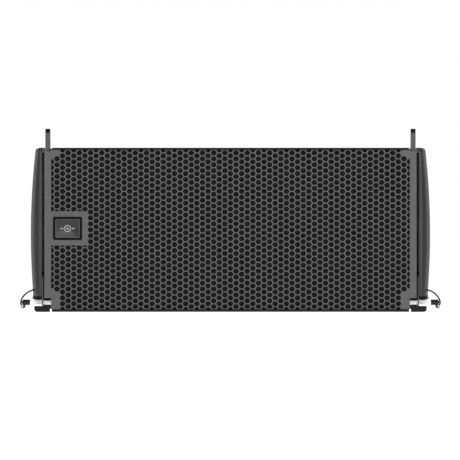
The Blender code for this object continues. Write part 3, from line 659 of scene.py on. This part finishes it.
def cut_plane(bm, axis, where, keep=None):
    """Cut the mesh at a coordinate; keep 'below' or 'above' removes the other side."""
    point, normal = [0, 0, 0], [0, 0, 0]
    point[axis], normal[axis] = where, 1
    bmesh.ops.bisect_plane(bm, geom=bm.verts[:] + bm.edges[:] + bm.faces[:], dist=1e-7, plane_co=point,
                           plane_no=normal, clear_outer=keep == "below", clear_inner=keep == "above")


def drop_faces(bm, wanted):
    faces = [f for f in bm.faces if wanted(f.calc_center_median())]
    bmesh.ops.delete(bm, geom=faces, context="FACES")


def fill_outline(bm, corners):
    """One face through the corners, in order, that also uses every vertex lying on its sides."""
    ring = []
    for a, b in zip(corners, corners[1:] + corners[:1]):
        start, end = Vector((a[0], 0, a[1])), Vector((b[0], 0, b[1]))
        along = end - start
        found = []
        for v in bm.verts:
            t = (v.co - start).dot(along) / along.length_squared
            if -1e-4 < t < 1 - 1e-4 and (v.co - start - along * t).length < 2e-6:
                found.append((t, v))
        found.sort(key=lambda pair: pair[0])
        if not found or found[0][0] > 1e-4:
            found.insert(0, (0, bm.verts.new(start)))
        ring += [v for t, v in found]
    bm.faces.new(ring)


def fold(bm, edge, outward):
    """Bend the sheet back round a rounded fold at height edge; outward is +1 at the top, -1 at the bottom."""
    arc = FOLD_RADIUS * pi / 2
    start = edge - outward * FOLD_RADIUS
    for v in bm.verts:
        s = (v.co.z - start) * outward
        if s <= 0:
            continue
        angle = min(s / FOLD_RADIUS, pi / 2)
        v.co.z = start + outward * FOLD_RADIUS * sin(angle)
        v.co.y += FOLD_RADIUS * (1 - cos(angle)) + max(0.0, s - arc)


def make_grille():
    low, high = GRILLE_LOW.z, GRILLE_HIGH.z
    half = GRILLE_HIGH.x
    bm = lattice(FOLD_REACH[1], FOLD_REACH[0])
    for axis, highest, lowest in ((0, MESH_EDGE, -MESH_EDGE), (2, *FOLD_REACH)):
        cut_plane(bm, axis, highest, "below")
        cut_plane(bm, axis, lowest, "above")
    for k in range(5):
        step = FOLD_RADIUS * pi / 2 * k / 4
        cut_plane(bm, 2, high - FOLD_RADIUS + step)
        cut_plane(bm, 2, low + FOLD_RADIUS - step)
    for z in (low, high, NOTCH_BOTTOM, PAD[1], PAD[2]):
        cut_plane(bm, 2, z)
    for x in (FOLD_HALF, -FOLD_HALF, PAD[0]):
        cut_plane(bm, 0, x)
    drop_faces(bm, lambda c: abs(c.x) > FOLD_HALF and (c.z > high or c.z < low))
    drop_faces(bm, lambda c: c.x < PAD[0] and PAD[1] < c.z < PAD[2])
    fill_outline(bm, [(-MESH_EDGE, PAD[1]), (PAD[0], PAD[1]), (PAD[0], PAD[2]), (-MESH_EDGE, PAD[2])])
    for s in (1, -1):
        fill_outline(bm, [(s * MESH_EDGE, NOTCH_BOTTOM), (s * half, NOTCH_BOTTOM), (s * half, NOTCH_TOP),
                          (s * (MESH_EDGE + 1.6 * MM), NOTCH_TOP), (s * MESH_EDGE, high)])
    for f in bm.faces:
        f.normal_update()
        if f.normal.y > 0:
            f.normal_flip()
    fold(bm, high, 1)
    fold(bm, low, -1)
    bmesh.ops.translate(bm, vec=(0, GRILLE_LOW.y, 0), verts=bm.verts)
    sheet = object_from("grille_sheet", bm, M["grille"], outward=False)
    sheet.data.shade_flat()
    solid = sheet.modifiers.new("sheet", "SOLIDIFY")
    solid.thickness = SHEET
    solid.offset = -1
    bevelled(sheet, 0.22 * MM, 1, 40)
    applied(sheet)
    replace(sheet, "front_grille")


def make_foam():
    low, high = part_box("grille_foam")
    bm = bmesh.new()
    bmesh.ops.create_grid(bm, x_segments=160, y_segments=70, size=0.5)
    size = high - low
    for v in bm.verts:
        x, z = v.co.x * size.x + (low.x + high.x) / 2, v.co.y * size.z + (low.z + high.z) / 2
        edge = min(x - low.x, high.x - x, z - low.z, high.z - z)
        if z < FOAM_NOTCH[1]:
            x = max(-FOAM_NOTCH[0], min(FOAM_NOTCH[0], x))
        sag = 0.6 * MM * (0.5 + 0.5 * sin(x / (23 * MM)) * sin(z / (31 * MM) + x / (57 * MM)))
        rolled = 1.4 * MM * max(0.0, 1 - edge / (4 * MM)) ** 2
        v.co = (x, low.y + sag + rolled, z)
    front = bm.faces[:]
    outcome = bmesh.ops.extrude_face_region(bm, geom=front)
    for v in (e for e in outcome["geom"] if isinstance(e, bmesh.types.BMVert)):
        v.co.y = high.y
    foam = object_from("acoustic_foam", bm, M["foam"], 50)
    replace(foam, "grille_foam")


ROUND_STEPS = 6


def rounded_rectangle(half_w, half_h, radius):
    """Points of a rounded rectangle round the origin, anticlockwise."""
    points = []
    for sx, sy, first in ((1, 1, 0), (-1, 1, pi / 2), (-1, -1, pi), (1, -1, 3 * pi / 2)):
        for k in range(ROUND_STEPS + 1):
            angle = first + pi / 2 * k / ROUND_STEPS
            points.append((sx * (half_w - radius) + radius * cos(angle),
                           sy * (half_h - radius) + radius * sin(angle)))
    return points


def loft(sections, centre, closed=False):
    """A solid through rounded rectangles (half width, half height, radius, y) about a centre (x, z)."""
    return skin([[(centre[0] + px, y, centre[1] + pz) for px, pz in rounded_rectangle(half_w, half_h, radius)]
                 for half_w, half_h, radius, y in sections], closed)


def stepped(half, steps):
    """Sections for loft from a half width and half height: each step has an inset, a radius in mm and a y."""
    return [(half[0] - inset * MM, half[1] - inset * MM, radius * MM, y) for inset, radius, y in steps]


def make_badge():
    """A frame round a recessed plate, with a raised bead coloured lighter than the plate as a painted
    highlight on its bevel, and a plain mark of a ring, a dot and two dashes.
    """
    low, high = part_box("badge_frame")
    centre = ((low.x + high.x) / 2, (low.z + high.z) / 2)
    outer = (high.x - low.x) / 2, (high.z - low.z) / 2
    front, back = low.y, high.y
    low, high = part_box("badge_plate")
    inner = (high.x - low.x) / 2, (high.z - low.z) / 2
    face = low.y
    sections = stepped(outer, [(0, 2.0, back), (0, 2.0, front + 0.8 * MM), (0.25, 1.8, front + 0.25 * MM),
                               (0.8, 1.4, front)])
    sections += stepped(inner, [(-0.75, 1.2, front), (-0.15, 1.0, front + 0.7 * MM), (-0.15, 1.0, back)])
    frame_piece = object_from("badge_surround", loft(sections, centre, True), M["badge_trim"], 30)
    replace(frame_piece, "badge_frame")
    sections = stepped(inner, [(0, 0.9, back), (0, 0.9, face + 0.7 * MM), (1.1, 0.6, face),
                               (1.4, 0.5, face + 0.15 * MM)])
    plate = object_from("badge_face", loft(sections, centre), M["badge_plate"], 30)
    replace(plate, "badge_plate")
    # painted highlight: a lighter bead round the plate's edge stands in for the bevel's highlight
    sections = stepped(inner, [(0.7, 0.9, face + 0.4 * MM), (0.8, 0.9, face - 0.1 * MM),
                               (1.4, 0.6, face - 0.1 * MM), (1.5, 0.6, face + 0.4 * MM)])
    bead = object_from("badge_bead_painted_highlight", loft(sections, centre, True), M["badge_bead_painted_highlight"], 30)
    attach(bead)
    middle = (centre[0], 0, centre[1])
    base = face + 0.15 * MM
    raised = base - 0.25 * MM
    ring = turned([(3.9 * MM, base), (3.9 * MM, raised), (5.4 * MM, raised), (5.4 * MM, base)], 1, middle, 48)
    dashes = [box_mesh((centre[0] + start, raised, centre[1] - 0.9 * MM),
                       (centre[0] + start + 4 * MM, base, centre[1] + 0.9 * MM))
              for start in (-10.6 * MM, 6.6 * MM)]
    parts = merge(ring, rod(1.7 * MM, base, raised, 1, middle, 32), *dashes)
    attach(object_from("badge_mark", parts, M["badge_mark"], 30))


make_grille()
make_foam()
make_badge()

# ---------------- cabinet and inside

def hex_screw(at, axis, direction, radius, height):
    """A button-head screw with a hexagon socket; direction is the sign of the way that the head faces."""
    others = [i for i in range(3) if i != axis]
    recess = 0.5
    rings = []
    for size, up, hexagon in ((1.0, 0.0, False), (1.0, 0.25, False), (0.93, 0.6, False), (0.78, 0.88, False),
                              (recess + 0.12, 1.0, False), (recess, 0.96, True), (recess, 0.2, True)):
        ring = []
        for k in range(24):
            angle = 2 * pi * k / 24
            r = radius * size
            if hexagon:
                r *= cos(pi / 6) / cos((angle % (pi / 3)) - pi / 6)
            point = list(at)
            point[axis] += direction * height * up
            point[others[0]] += r * cos(angle)
            point[others[1]] += r * sin(angle)
            ring.append(point)
        rings.append(ring)
    return skin(rings)


def make_screws(name, places, axis, direction, radius, height):
    heads = merge(*[hex_screw(place, axis, direction, radius, height) for place in places])
    attach(object_from(name, heads, M["screw"]))


def make_cabinet():
    refine("cabinet_shell", M["cabinet"], 1.6 * MM, 3)
    refine("front_baffle", M["plywood"], 1.0 * MM, 2)
    refine("rear_input_panel", M["panel"], 0.6 * MM, 2)
    low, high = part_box("rear_input_panel")
    margin = 8 * MM
    places = [(x, high.y, z) for x in (low.x + margin, 0, high.x - margin)
              for z in (low.z + margin, high.z - margin)]
    make_screws("panel_screws", places, 1, 1, 3.4 * MM, 1.9 * MM)
    for node in ("input_socket", "link_socket"):
        make_socket(node)


def pegs(centre, first, distance, half, start, end, rounding):
    """Four square pegs round a socket's axis, from angle first, between two depths."""
    parts = []
    for k in range(4):
        angle = first + k * pi / 2
        x, z = centre[0] + distance * cos(angle), centre[2] + distance * sin(angle)
        parts.append(box_mesh((x - half, start, z - half), (x + half, end, z + half), rounding, 2))
    return parts


def make_socket(node):
    """A round four-pole locking socket: flange with a stepped collar, bore, keyed spigot and contacts."""
    low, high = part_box(node)
    centre = ((low.x + high.x) / 2, 0, (low.z + high.z) / 2)
    flange, barrel, mouth = 15.4 * MM, 11.6 * MM, 8.5 * MM
    face = high.y
    floor = 165 * MM
    profile = [(0, low.y), (barrel, low.y), (barrel, face - 6.0 * MM), (flange, face - 6.0 * MM),
               (flange, face - 4.4 * MM), (flange - 0.8 * MM, face - 3.6 * MM), (12.6 * MM, face - 3.4 * MM),
               (12.0 * MM, face - 0.8 * MM), (11.2 * MM, face), (mouth + 0.8 * MM, face),
               (mouth, face - 0.8 * MM), (mouth, floor), (0, floor)]
    replace(object_from(node + "_body", turned(profile, 1, centre, 64), M["socket"]), node)
    spigot = [(0, floor), (5.0 * MM, floor), (5.0 * MM, face - 3.0 * MM), (4.4 * MM, face - 2.4 * MM),
              (2.4 * MM, face - 2.4 * MM), (2.4 * MM, face - 8 * MM), (0, face - 8 * MM)]
    keys = pegs(centre, pi / 4, 7.9 * MM, 0.8 * MM, floor, face - 2.0 * MM, 0.3 * MM)
    spigot = merge(turned(spigot, 1, centre, 40), *keys)
    attach(object_from(node + "_spigot", spigot, M["socket"]))
    contacts = merge(*pegs(centre, 0, 5.1 * MM, 0.9 * MM, floor + 2 * MM, face - 6.0 * MM, 0.25 * MM))
    attach(object_from(node + "_contacts", contacts, M["contact"]))


def make_inside():
    """The hidden parts keep their CAD shapes and get their real finishes."""
    for side in ("left", "right"):
        for part, material in (("cone", "paper"), ("basket", "basket"), ("magnet", "zinc")):
            repaint(f"woofer_{part}_{side}", M[material])
    repaint("compression_driver", M["basket"])
    repaint("crossover_inductor", M["copper"])
    repaint("crossover_capacitor", M["film"])
    refine("horn_waveguide", M["horn"], 0.8 * MM, 2)
    refine("crossover_board", M["board"], 0.4 * MM, 1)


make_cabinet()
make_inside()

# ---------------- side caps

CAP_INNER = 287.9 * MM
CAP_FRONT = -186 * MM
CAP_REAR = 100 * MM
CAP_WALL = 3 * MM
CAP_FOOT = 18 * MM                   # the cap's lower edge above the cabinet's bottom
CAP_NOSE = 30 * MM                   # depth of the rounded front
CAP_TAIL = 30 * MM                   # depth of the rounded rear
CAP_CORNER = 2.4 * MM                # radius of the top edge
LIP_HEIGHT = 5.4 * MM                # a near-black band along the lower edge, a little proud of the cap: painted shade for the shadowed underside of the cap's edge
LIP_PROUD = 0.3 * MM
POCKET = ((-58 * MM, 89 * MM), (58 * MM, 161 * MM))
POCKET_FLOOR = 279 * MM
POCKET_WALL = 2.6 * MM
POCKET_RIM = 302.5 * MM              # the pocket's walls end here, inside the cap's skin
CAP_FLANGE = 282.9 * MM              # how far in the cap's top flange reaches,
FLANGE_REAR = -172 * MM              # how far back,
FLANGE_THICKNESS = 4.6 * MM          # and how thick it is there
LANYARD_HOLE = (-171 * MM, 33.5 * MM)
LANYARD_HOLE_RADIUS = 3.2 * MM
# The cap's screws: y in mm, and the share of the height
CAP_SCREWS = ((-92, 0.09), (-92, 0.92), (0, 0.06), (0, 0.94), (66, 0.1), (66, 0.88))


def cap_bulge(v):
    """How far the cap stands out at a share v of its height."""
    return (13.1 + 19.5 * v - 22.7 * v * v) * MM


def cap_plan(y):
    """The share of the bulge that is left at depth y, round the cap's front and rear ends."""
    front = min(1.0, max(0.0, (y - CAP_FRONT) / CAP_NOSE))
    rear = min(1.0, max(0.0, (CAP_REAR - y) / CAP_TAIL))
    return (0.2 + 0.8 * sqrt(1 - (1 - front) ** 2)) * (0.5 + 0.5 * sqrt(1 - (1 - rear) ** 2))


def cap_shell(inset, inner):
    """The cap's form above its lip, set in by inset and closed by a flat side at inner."""
    rows, columns, turn = 84, 31, 5
    front, rear = CAP_FRONT + inset, CAP_REAR - inset
    sections = []
    for i in range(rows):
        y = front + (i / (rows - 1)) ** 2.1 * (rear - front)
        foot = bottom_at(y) + CAP_FOOT
        low, high = foot + LIP_HEIGHT + inset, top_at(y) - inset
        side_top = high - CAP_CORNER
        outline = []
        for j in range(columns + turn):
            # the last stations go round the top edge's quarter circle
            angle = max(0, j - columns + 1) / turn * pi / 2
            z = min(low + j / (columns - 1) * (side_top - low), side_top) + CAP_CORNER * sin(angle)
            v = (z - foot) / (top_at(y) - foot)
            x = CAP_INNER + cap_bulge(min(max(v, 0), 1)) * cap_plan(y) - inset - CAP_CORNER * (1 - cos(angle))
            outline.append((max(x, inner + 0.4 * MM), y, z))
        sections.append(outline + [(inner, y, high), (inner, y, low)])
    return skin(sections)


def top_flange():
    """The cap's top front corner, which reaches in over the rigging channel."""
    sections = []
    outer = CAP_INNER + 1.4 * MM
    for y, set_in in ((CAP_FRONT, 0.5 * MM), (CAP_FRONT + 0.5 * MM, 0.0), (FLANGE_REAR, 0.0)):
        high, low = top_at(y) - set_in, top_at(FLANGE_REAR) - FLANGE_THICKNESS + set_in
        inner = CAP_FLANGE + set_in
        sections.append([(x, y, z) for x, z in (
            (inner, high - 0.8 * MM), (inner + 0.8 * MM, high), (outer, high), (outer, low),
            (inner + 0.6 * MM, low), (inner, low + 0.6 * MM))])
    return skin(sections)


def cap_lip():
    """The near-black band along the cap's lower edge, flared a little below: painted shade for the shadowed
    underside of the cap's edge.
    """
    rows = 60
    sections = []
    for i in range(rows):
        y = CAP_FRONT - LIP_PROUD + (i / (rows - 1)) ** 2.0 * (CAP_REAR - CAP_FRONT + 2 * LIP_PROUD)
        low = bottom_at(y) + CAP_FOOT
        high = low + LIP_HEIGHT + 0.2 * MM
        x = CAP_INNER + cap_bulge(0.03) * cap_plan(y) + LIP_PROUD
        sections.append([(px, y, pz) for px, pz in (
            (CAP_INNER, low), (x, low), (x + 0.3 * MM, low + 0.4 * MM), (x, high), (CAP_INNER, high))])
    return skin(sections)


def channel_rib():
    """An upright rib inside the cap that closes the rigging channel behind the front bar."""
    front, rear = -111 * MM, -106 * MM
    return box_mesh((283.1 * MM, front, bottom_at(rear) + 20 * MM),
                    (288.4 * MM, rear, top_at(rear) - 0.6 * MM), 0.8 * MM, 2)


def make_cap(side, label):
    cap = object_from("cap_shell_" + label, on_side(cap_shell(0, CAP_INNER), side), M["cap"])
    (front, bottom), (rear, top) = POCKET
    bowl = box_mesh((POCKET_FLOOR - POCKET_WALL, front - POCKET_WALL, bottom - POCKET_WALL),
                    (POCKET_RIM, rear + POCKET_WALL, top + POCKET_WALL), 9 * MM, 5)
    hollow = box_mesh((POCKET_FLOOR, front, bottom), (330 * MM, rear, top), 8 * MM, 5)
    hole = rod(LANYARD_HOLE_RADIUS, 290 * MM, 312 * MM, 0, (0, *LANYARD_HOLE), 32)
    for tool, operation in ((cap_shell(CAP_WALL, CAP_INNER - 5 * MM), "DIFFERENCE"), (bowl, "UNION"),
                            (hollow, "DIFFERENCE"), (hole, "DIFFERENCE")):
        boolean(cap, on_side(tool, side), operation)
    bevelled(cap, 0.7 * MM, 3, 38)
    applied(cap)
    surfaced(cap.data, M["cap"], 40)
    replace(cap, "side_cap_" + label)
    # the lip band is painted shade
    for name, form, material in (("cap_lip_", cap_lip(), "cap_lip"), ("cap_flange_", top_flange(), "cap"),
                                 ("channel_rib_", channel_rib(), "cap_lip")):
        attach(object_from(name + label, on_side(form, side), M[material]))
    places = []
    for y, v in CAP_SCREWS:
        y *= MM
        low, high = bottom_at(y) + CAP_FOOT, top_at(y)
        x = CAP_INNER + cap_bulge(v) * cap_plan(y)
        places.append((side * (x - 0.7 * MM), y, low + v * (high - low)))
    make_screws("cap_screws_" + label, places, 0, side, 3.2 * MM, 1.6 * MM)


for SIDE, LABEL in SIDES:
    make_cap(SIDE, LABEL)

# ---------------- rigging

PIN_HEIGHT = 14.5 * MM               # the pins' axis above the cabinet's bottom
FRONT_PIN = (0, -163 * MM, PIN_HEIGHT)
REAR_PIN = (0, 137 * MM, bottom_at(137 * MM) + PIN_HEIGHT)
PIN_RADIUS = 2.8 * MM
NECK_RADIUS = 3.05 * MM              # the front pins' shafts are thicker outside the cap
HANDLE_RADIUS = 4.4 * MM
BORE = 2.6 * MM
BORE_DEPTH = 4.5 * MM
COLLAR = (302.3 * MM, 303.7 * MM)    # a thin bright disc on the front pins, outside the cap
COLLAR_RADIUS = 8 * MM
BUTTON_RISE = 1.4 * MM
LUG = (313.2 * MM, 319.6 * MM)       # a lug under the front grips' outer end carries a ring
LUG_DROP = (8.3 * MM, 3.5 * MM)      # its bottom and top below the pin's axis
LUG_HALF = 0.7 * MM
EYE = (317.9 * MM, 6 * MM)           # the lug's eye: distance out, and below the pin's axis
EYE_RADIUS = 1.5 * MM
RING = (2.2 * MM, 0.5 * MM)          # major and minor radius
CHEEK_FACE = 287.5 * MM
REAR_BOLTS = ((113, 45), (113, 210), (168, 56), (168, 202))    # y and z in mm
FRONT_BOLTS = ((-122, 24), (-122, 224))


def make_rigging():
    for label in ("left", "right"):
        for node, material, width, segments, slot in (
                ("inner_rigging_plate_", "rigging", 0.5, 2, "rigging_steel"),
                ("front_rigging_cheek_", "rigging", 0.5, 2, "rigging_steel"),
                ("rear_rigging_cheek_", "rigging", 0.5, 2, "rigging_steel"),
                ("channel_spacer_", "tip", 0.8, 2, "cap_plastic"),
                ("front_foot_", "foot", 0.9, 3, "foot_plastic"),
                ("rear_angle_bar_", "rigging", 0.7, 2, "rigging_steel"),
                ("front_stop_pin_", "tip", 0.6, 2, "rigging_steel"),
                ("rear_stop_pin_", "tip", 0.6, 2, "rigging_steel")):
            refine(node + label, M[material], width * MM, segments)
        make_front_bar("front_link_bar_" + label)
    make_cabinet_corners()
    for side, label in SIDES:
        make_bar_guides(side, label)
        rear = [(side * CHEEK_FACE, y * MM, z * MM) for y, z in REAR_BOLTS]
        make_screws("rear_cheek_bolts_" + label, rear, 0, side, 4.4 * MM, 2.6 * MM)
        front = [(side * CHEEK_FACE, y * MM, z * MM) for y, z in FRONT_BOLTS]
        make_screws("front_cheek_bolts_" + label, front, 0, side, 3.4 * MM, 0.3 * MM)


def make_bar_guides(side, label):
    """Black slide pads on both sides of the front link bar, at the top of its channel."""
    inner, outer = reach("front_link_bar_" + label)
    front, rear = -182 * MM, -174 * MM
    foot, shelf, top = 225 * MM, 244.8 * MM, top_at(rear) - 0.2 * MM
    pads = [box_mesh((x0, front, z0), (x1, rear, z1), rounding, 2) for x0, x1, z0, z1, rounding in (
        (273.2 * MM, inner - 0.25 * MM, foot, top, 0.5 * MM),
        (outer + 0.25 * MM, 285.6 * MM, foot, shelf, 0.5 * MM),
        (284.5 * MM, 288.3 * MM, shelf - 1.6 * MM, shelf, 0.3 * MM))]
    attach(object_from("bar_guides_" + label, on_side(merge(*pads), side), M["cap_lip"]))


def make_cabinet_corners():
    """Short black end pieces that carry the cabinet's front edges out over the inner rigging plates."""
    front, rear = -183.8 * MM, -181 * MM
    parts = []
    for z0, z1 in ((0.1 * MM, 6 * MM), (FRONT_HEIGHT - 5 * MM, FRONT_HEIGHT - 0.1 * MM)):
        for side in (1, -1):
            block = box_mesh((267.5 * MM, front, z0), (272.6 * MM, rear, z1), 0.3 * MM, 2)
            parts.append(on_side(block, side))
    attach(object_from("cabinet_corners", merge(*parts), M["cabinet"]))


def make_front_bar(node):
    """The bar in grey coat; its top end gets the near-black finish as painted shade, where the end turns away
    from the light.
    """
    bar = refine(node, M["rigging"], 0.7 * MM, 2)
    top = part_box(node)[1].z
    bar.data.materials.append(M["tip"])
    # painted shade: the faces of the bar's top end take the near-black finish
    for face in bar.data.polygons:
        if face.center.z > top - 6.5 * MM and abs(face.normal.x) < 0.5:
            face.material_index = 1


def ribbed_handle(start, end, centre):
    """A round grip with grooves round it and a bore for the button."""
    r = HANDLE_RADIUS
    profile = [(0, start), (r - 0.8 * MM, start), (r - 0.1 * MM, start + 0.7 * MM)]
    first, last = start + 1.2 * MM, end - 1.4 * MM
    ribs = max(3, round((last - first) / (2.1 * MM)))
    step = (last - first) / ribs
    for k in range(ribs):
        at = first + k * step
        profile += [(r, at + 0.1 * step), (r, at + 0.55 * step), (r - 0.55 * MM, at + 0.68 * step),
                    (r - 0.55 * MM, at + 0.9 * step)]
    profile += [(r, last + 0.1 * MM), (r, end - 0.5 * MM), (r - 0.5 * MM, end), (BORE + 0.2 * MM, end),
                (BORE, end - 0.2 * MM), (BORE, end - BORE_DEPTH), (0, end - BORE_DEPTH)]
    return turned(profile, 0, centre, 48)


def pin_shaft(start, end, centre, has_neck):
    """The shaft with its two locking balls; a front pin also has a thicker neck with a collar."""
    r, neck, collar = PIN_RADIUS, NECK_RADIUS, COLLAR_RADIUS
    small = 0.3 * MM
    profile = [(0, start), (r - 1.1 * MM, start), (r - small, start + 0.7 * MM), (r, start + 1.4 * MM)]
    if has_neck:
        inner, outer = COLLAR
        profile += [(r, CAP_INNER - 0.2 * MM), (neck - 0.2 * MM, CAP_INNER), (neck, CAP_INNER + small),
                    (neck, inner), (collar - small, inner), (collar, inner + small), (collar, outer - small),
                    (collar - small, outer), (neck, outer), (neck, end - small), (neck - small, end)]
    else:
        profile += [(r, end - small), (r - small, end)]
    profile.append((0, end))
    balls = []
    for s in (-1, 1):
        ball = bmesh.new()
        bmesh.ops.create_icosphere(ball, subdivisions=2, radius=0.9 * MM)
        place = (start + 3.4 * MM, centre[1] + s * 2.25 * MM, centre[2])
        bmesh.ops.translate(ball, vec=place, verts=ball.verts)
        balls.append(ball)
    return merge(turned(profile, 0, centre, 40), *balls)


def add_ring(handle, name, label, side, centre):
    """A lug under the grip with an eye, and the ring that hangs in it."""
    y, z = centre[1], centre[2]
    lug = box_mesh((LUG[0], y - LUG_HALF, z - LUG_DROP[0]), (LUG[1], y + LUG_HALF, z - LUG_DROP[1]),
                   0.5 * MM, 2)
    boolean(handle, on_side(lug, side), "UNION")
    eye = (EYE[0], 0, z - EYE[1])
    bore = rod(EYE_RADIUS, y - 3 * MM, y + 3 * MM, 1, eye, 24)
    boolean(handle, on_side(bore, side), "DIFFERENCE")
    middle = (EYE[0], y, z - EYE[1] - RING[0])
    loop = torus(0, middle, *RING, 48, 16)
    bmesh.ops.rotate(loop, verts=loop.verts, cent=middle, matrix=Matrix.Rotation(pi / 4, 3, "Z"))
    ring = object_from(f"{name}_{label}_ring", on_side(loop, side), M["zinc"], 60)
    replace(ring, f"{name}_ring_{label}")


def make_pin(name, label, side, centre):
    start, end = reach(f"{name}_shaft_{label}")
    is_front = end > CAP_INNER + 1 * MM
    form = pin_shaft(start, end, centre, is_front)
    shaft = object_from(f"{name}_{label}_shaft", on_side(form, side), M["chrome"])
    replace(shaft, f"{name}_shaft_{label}")

    grip_start = reach(f"{name}_handle_{label}")[0]
    start, end = reach(f"{name}_button_{label}")
    grip = ribbed_handle(grip_start, end - BUTTON_RISE, centre)
    handle = object_from(f"{name}_{label}_grip", on_side(grip, side), M["handle"])
    if is_front:
        add_ring(handle, name, label, side, centre)
    surfaced(handle.data, M["handle"], 35)
    replace(handle, f"{name}_handle_{label}")

    r = BORE - 0.3 * MM
    cap = [(0, start), (r, start), (r, end - 0.8 * MM), (r - 0.3 * MM, end - 0.25 * MM), (r - 0.9 * MM, end),
           (0, end)]
    button = object_from(f"{name}_{label}_button", on_side(turned(cap, 0, centre, 40), side), M["tip"])
    replace(button, f"{name}_button_{label}")


make_rigging()
for SIDE, LABEL in SIDES:
    make_pin("front_pin", LABEL, SIDE, FRONT_PIN)
    make_pin("rear_pin", LABEL, SIDE, REAR_PIN)

# ---------------- studio

ROOM_LIGHT = 0.15


def area_light(name, location, target, size, power, size_y):
    """A lamp of a width and height in metres that faces a point; it doesn't show in the picture."""
    light = bpy.data.lights.new(name, "AREA")
    light.shape = "RECTANGLE"
    light.size = size
    light.size_y = size_y
    light.energy = power
    obj = bpy.data.objects.new(name, light)
    obj.location = location
    obj.rotation_euler = (Vector(target) - Vector(location)).to_track_quat("-Z", "Y").to_euler()
    obj.visible_camera = False
    bpy.context.scene.collection.objects.link(obj)


def make_studio():
    bm = bmesh.new()
    bmesh.ops.create_grid(bm, x_segments=1, y_segments=1, size=30)
    g = Graph("white_floor")
    g.put("Base Color", (0.6, 0.6, 0.6, 1))
    g.put("Roughness", 0.9)
    g.put("Specular IOR Level", 0.0)
    g.put("Emission Color", (1, 1, 1, 1))
    g.put("Emission Strength", 0.95)
    floor = object_from("floor", bm, g.material)
    floor.location.z = -0.4 * MM

    # white where the camera sees it, and a dim grey room for the light that reaches the object
    world = bpy.data.worlds.new("studio")
    bpy.context.scene.world = world
    world.use_nodes = True
    tree = world.node_tree
    background = tree.nodes["Background"]
    path = tree.nodes.new("ShaderNodeLightPath")
    strength = tree.nodes.new("ShaderNodeMapRange")
    strength.inputs["To Min"].default_value = ROOM_LIGHT
    strength.inputs["To Max"].default_value = 1.0
    tree.links.new(path.outputs["Is Camera Ray"], strength.inputs["Value"])
    tree.links.new(strength.outputs["Result"], background.inputs["Strength"])
    background.inputs["Color"].default_value = (1, 1, 1, 1)

    area_light("front", (0.3, -3.4, 0.6), (0, 0, 0.12), 3.0, 46, 1.4)
    for side, label in SIDES:
        area_light(label, (side * 2.1, 1.75, 0.9), (side * 0.3, 0, 0.12), 0.8, 6.5, 1.6)
    area_light("top", (0, 0.4, 2.4), (0, 0, 0.1), 1.8, 5, 1.8)
    bpy.context.scene.view_settings.view_transform = "Standard"


make_studio()
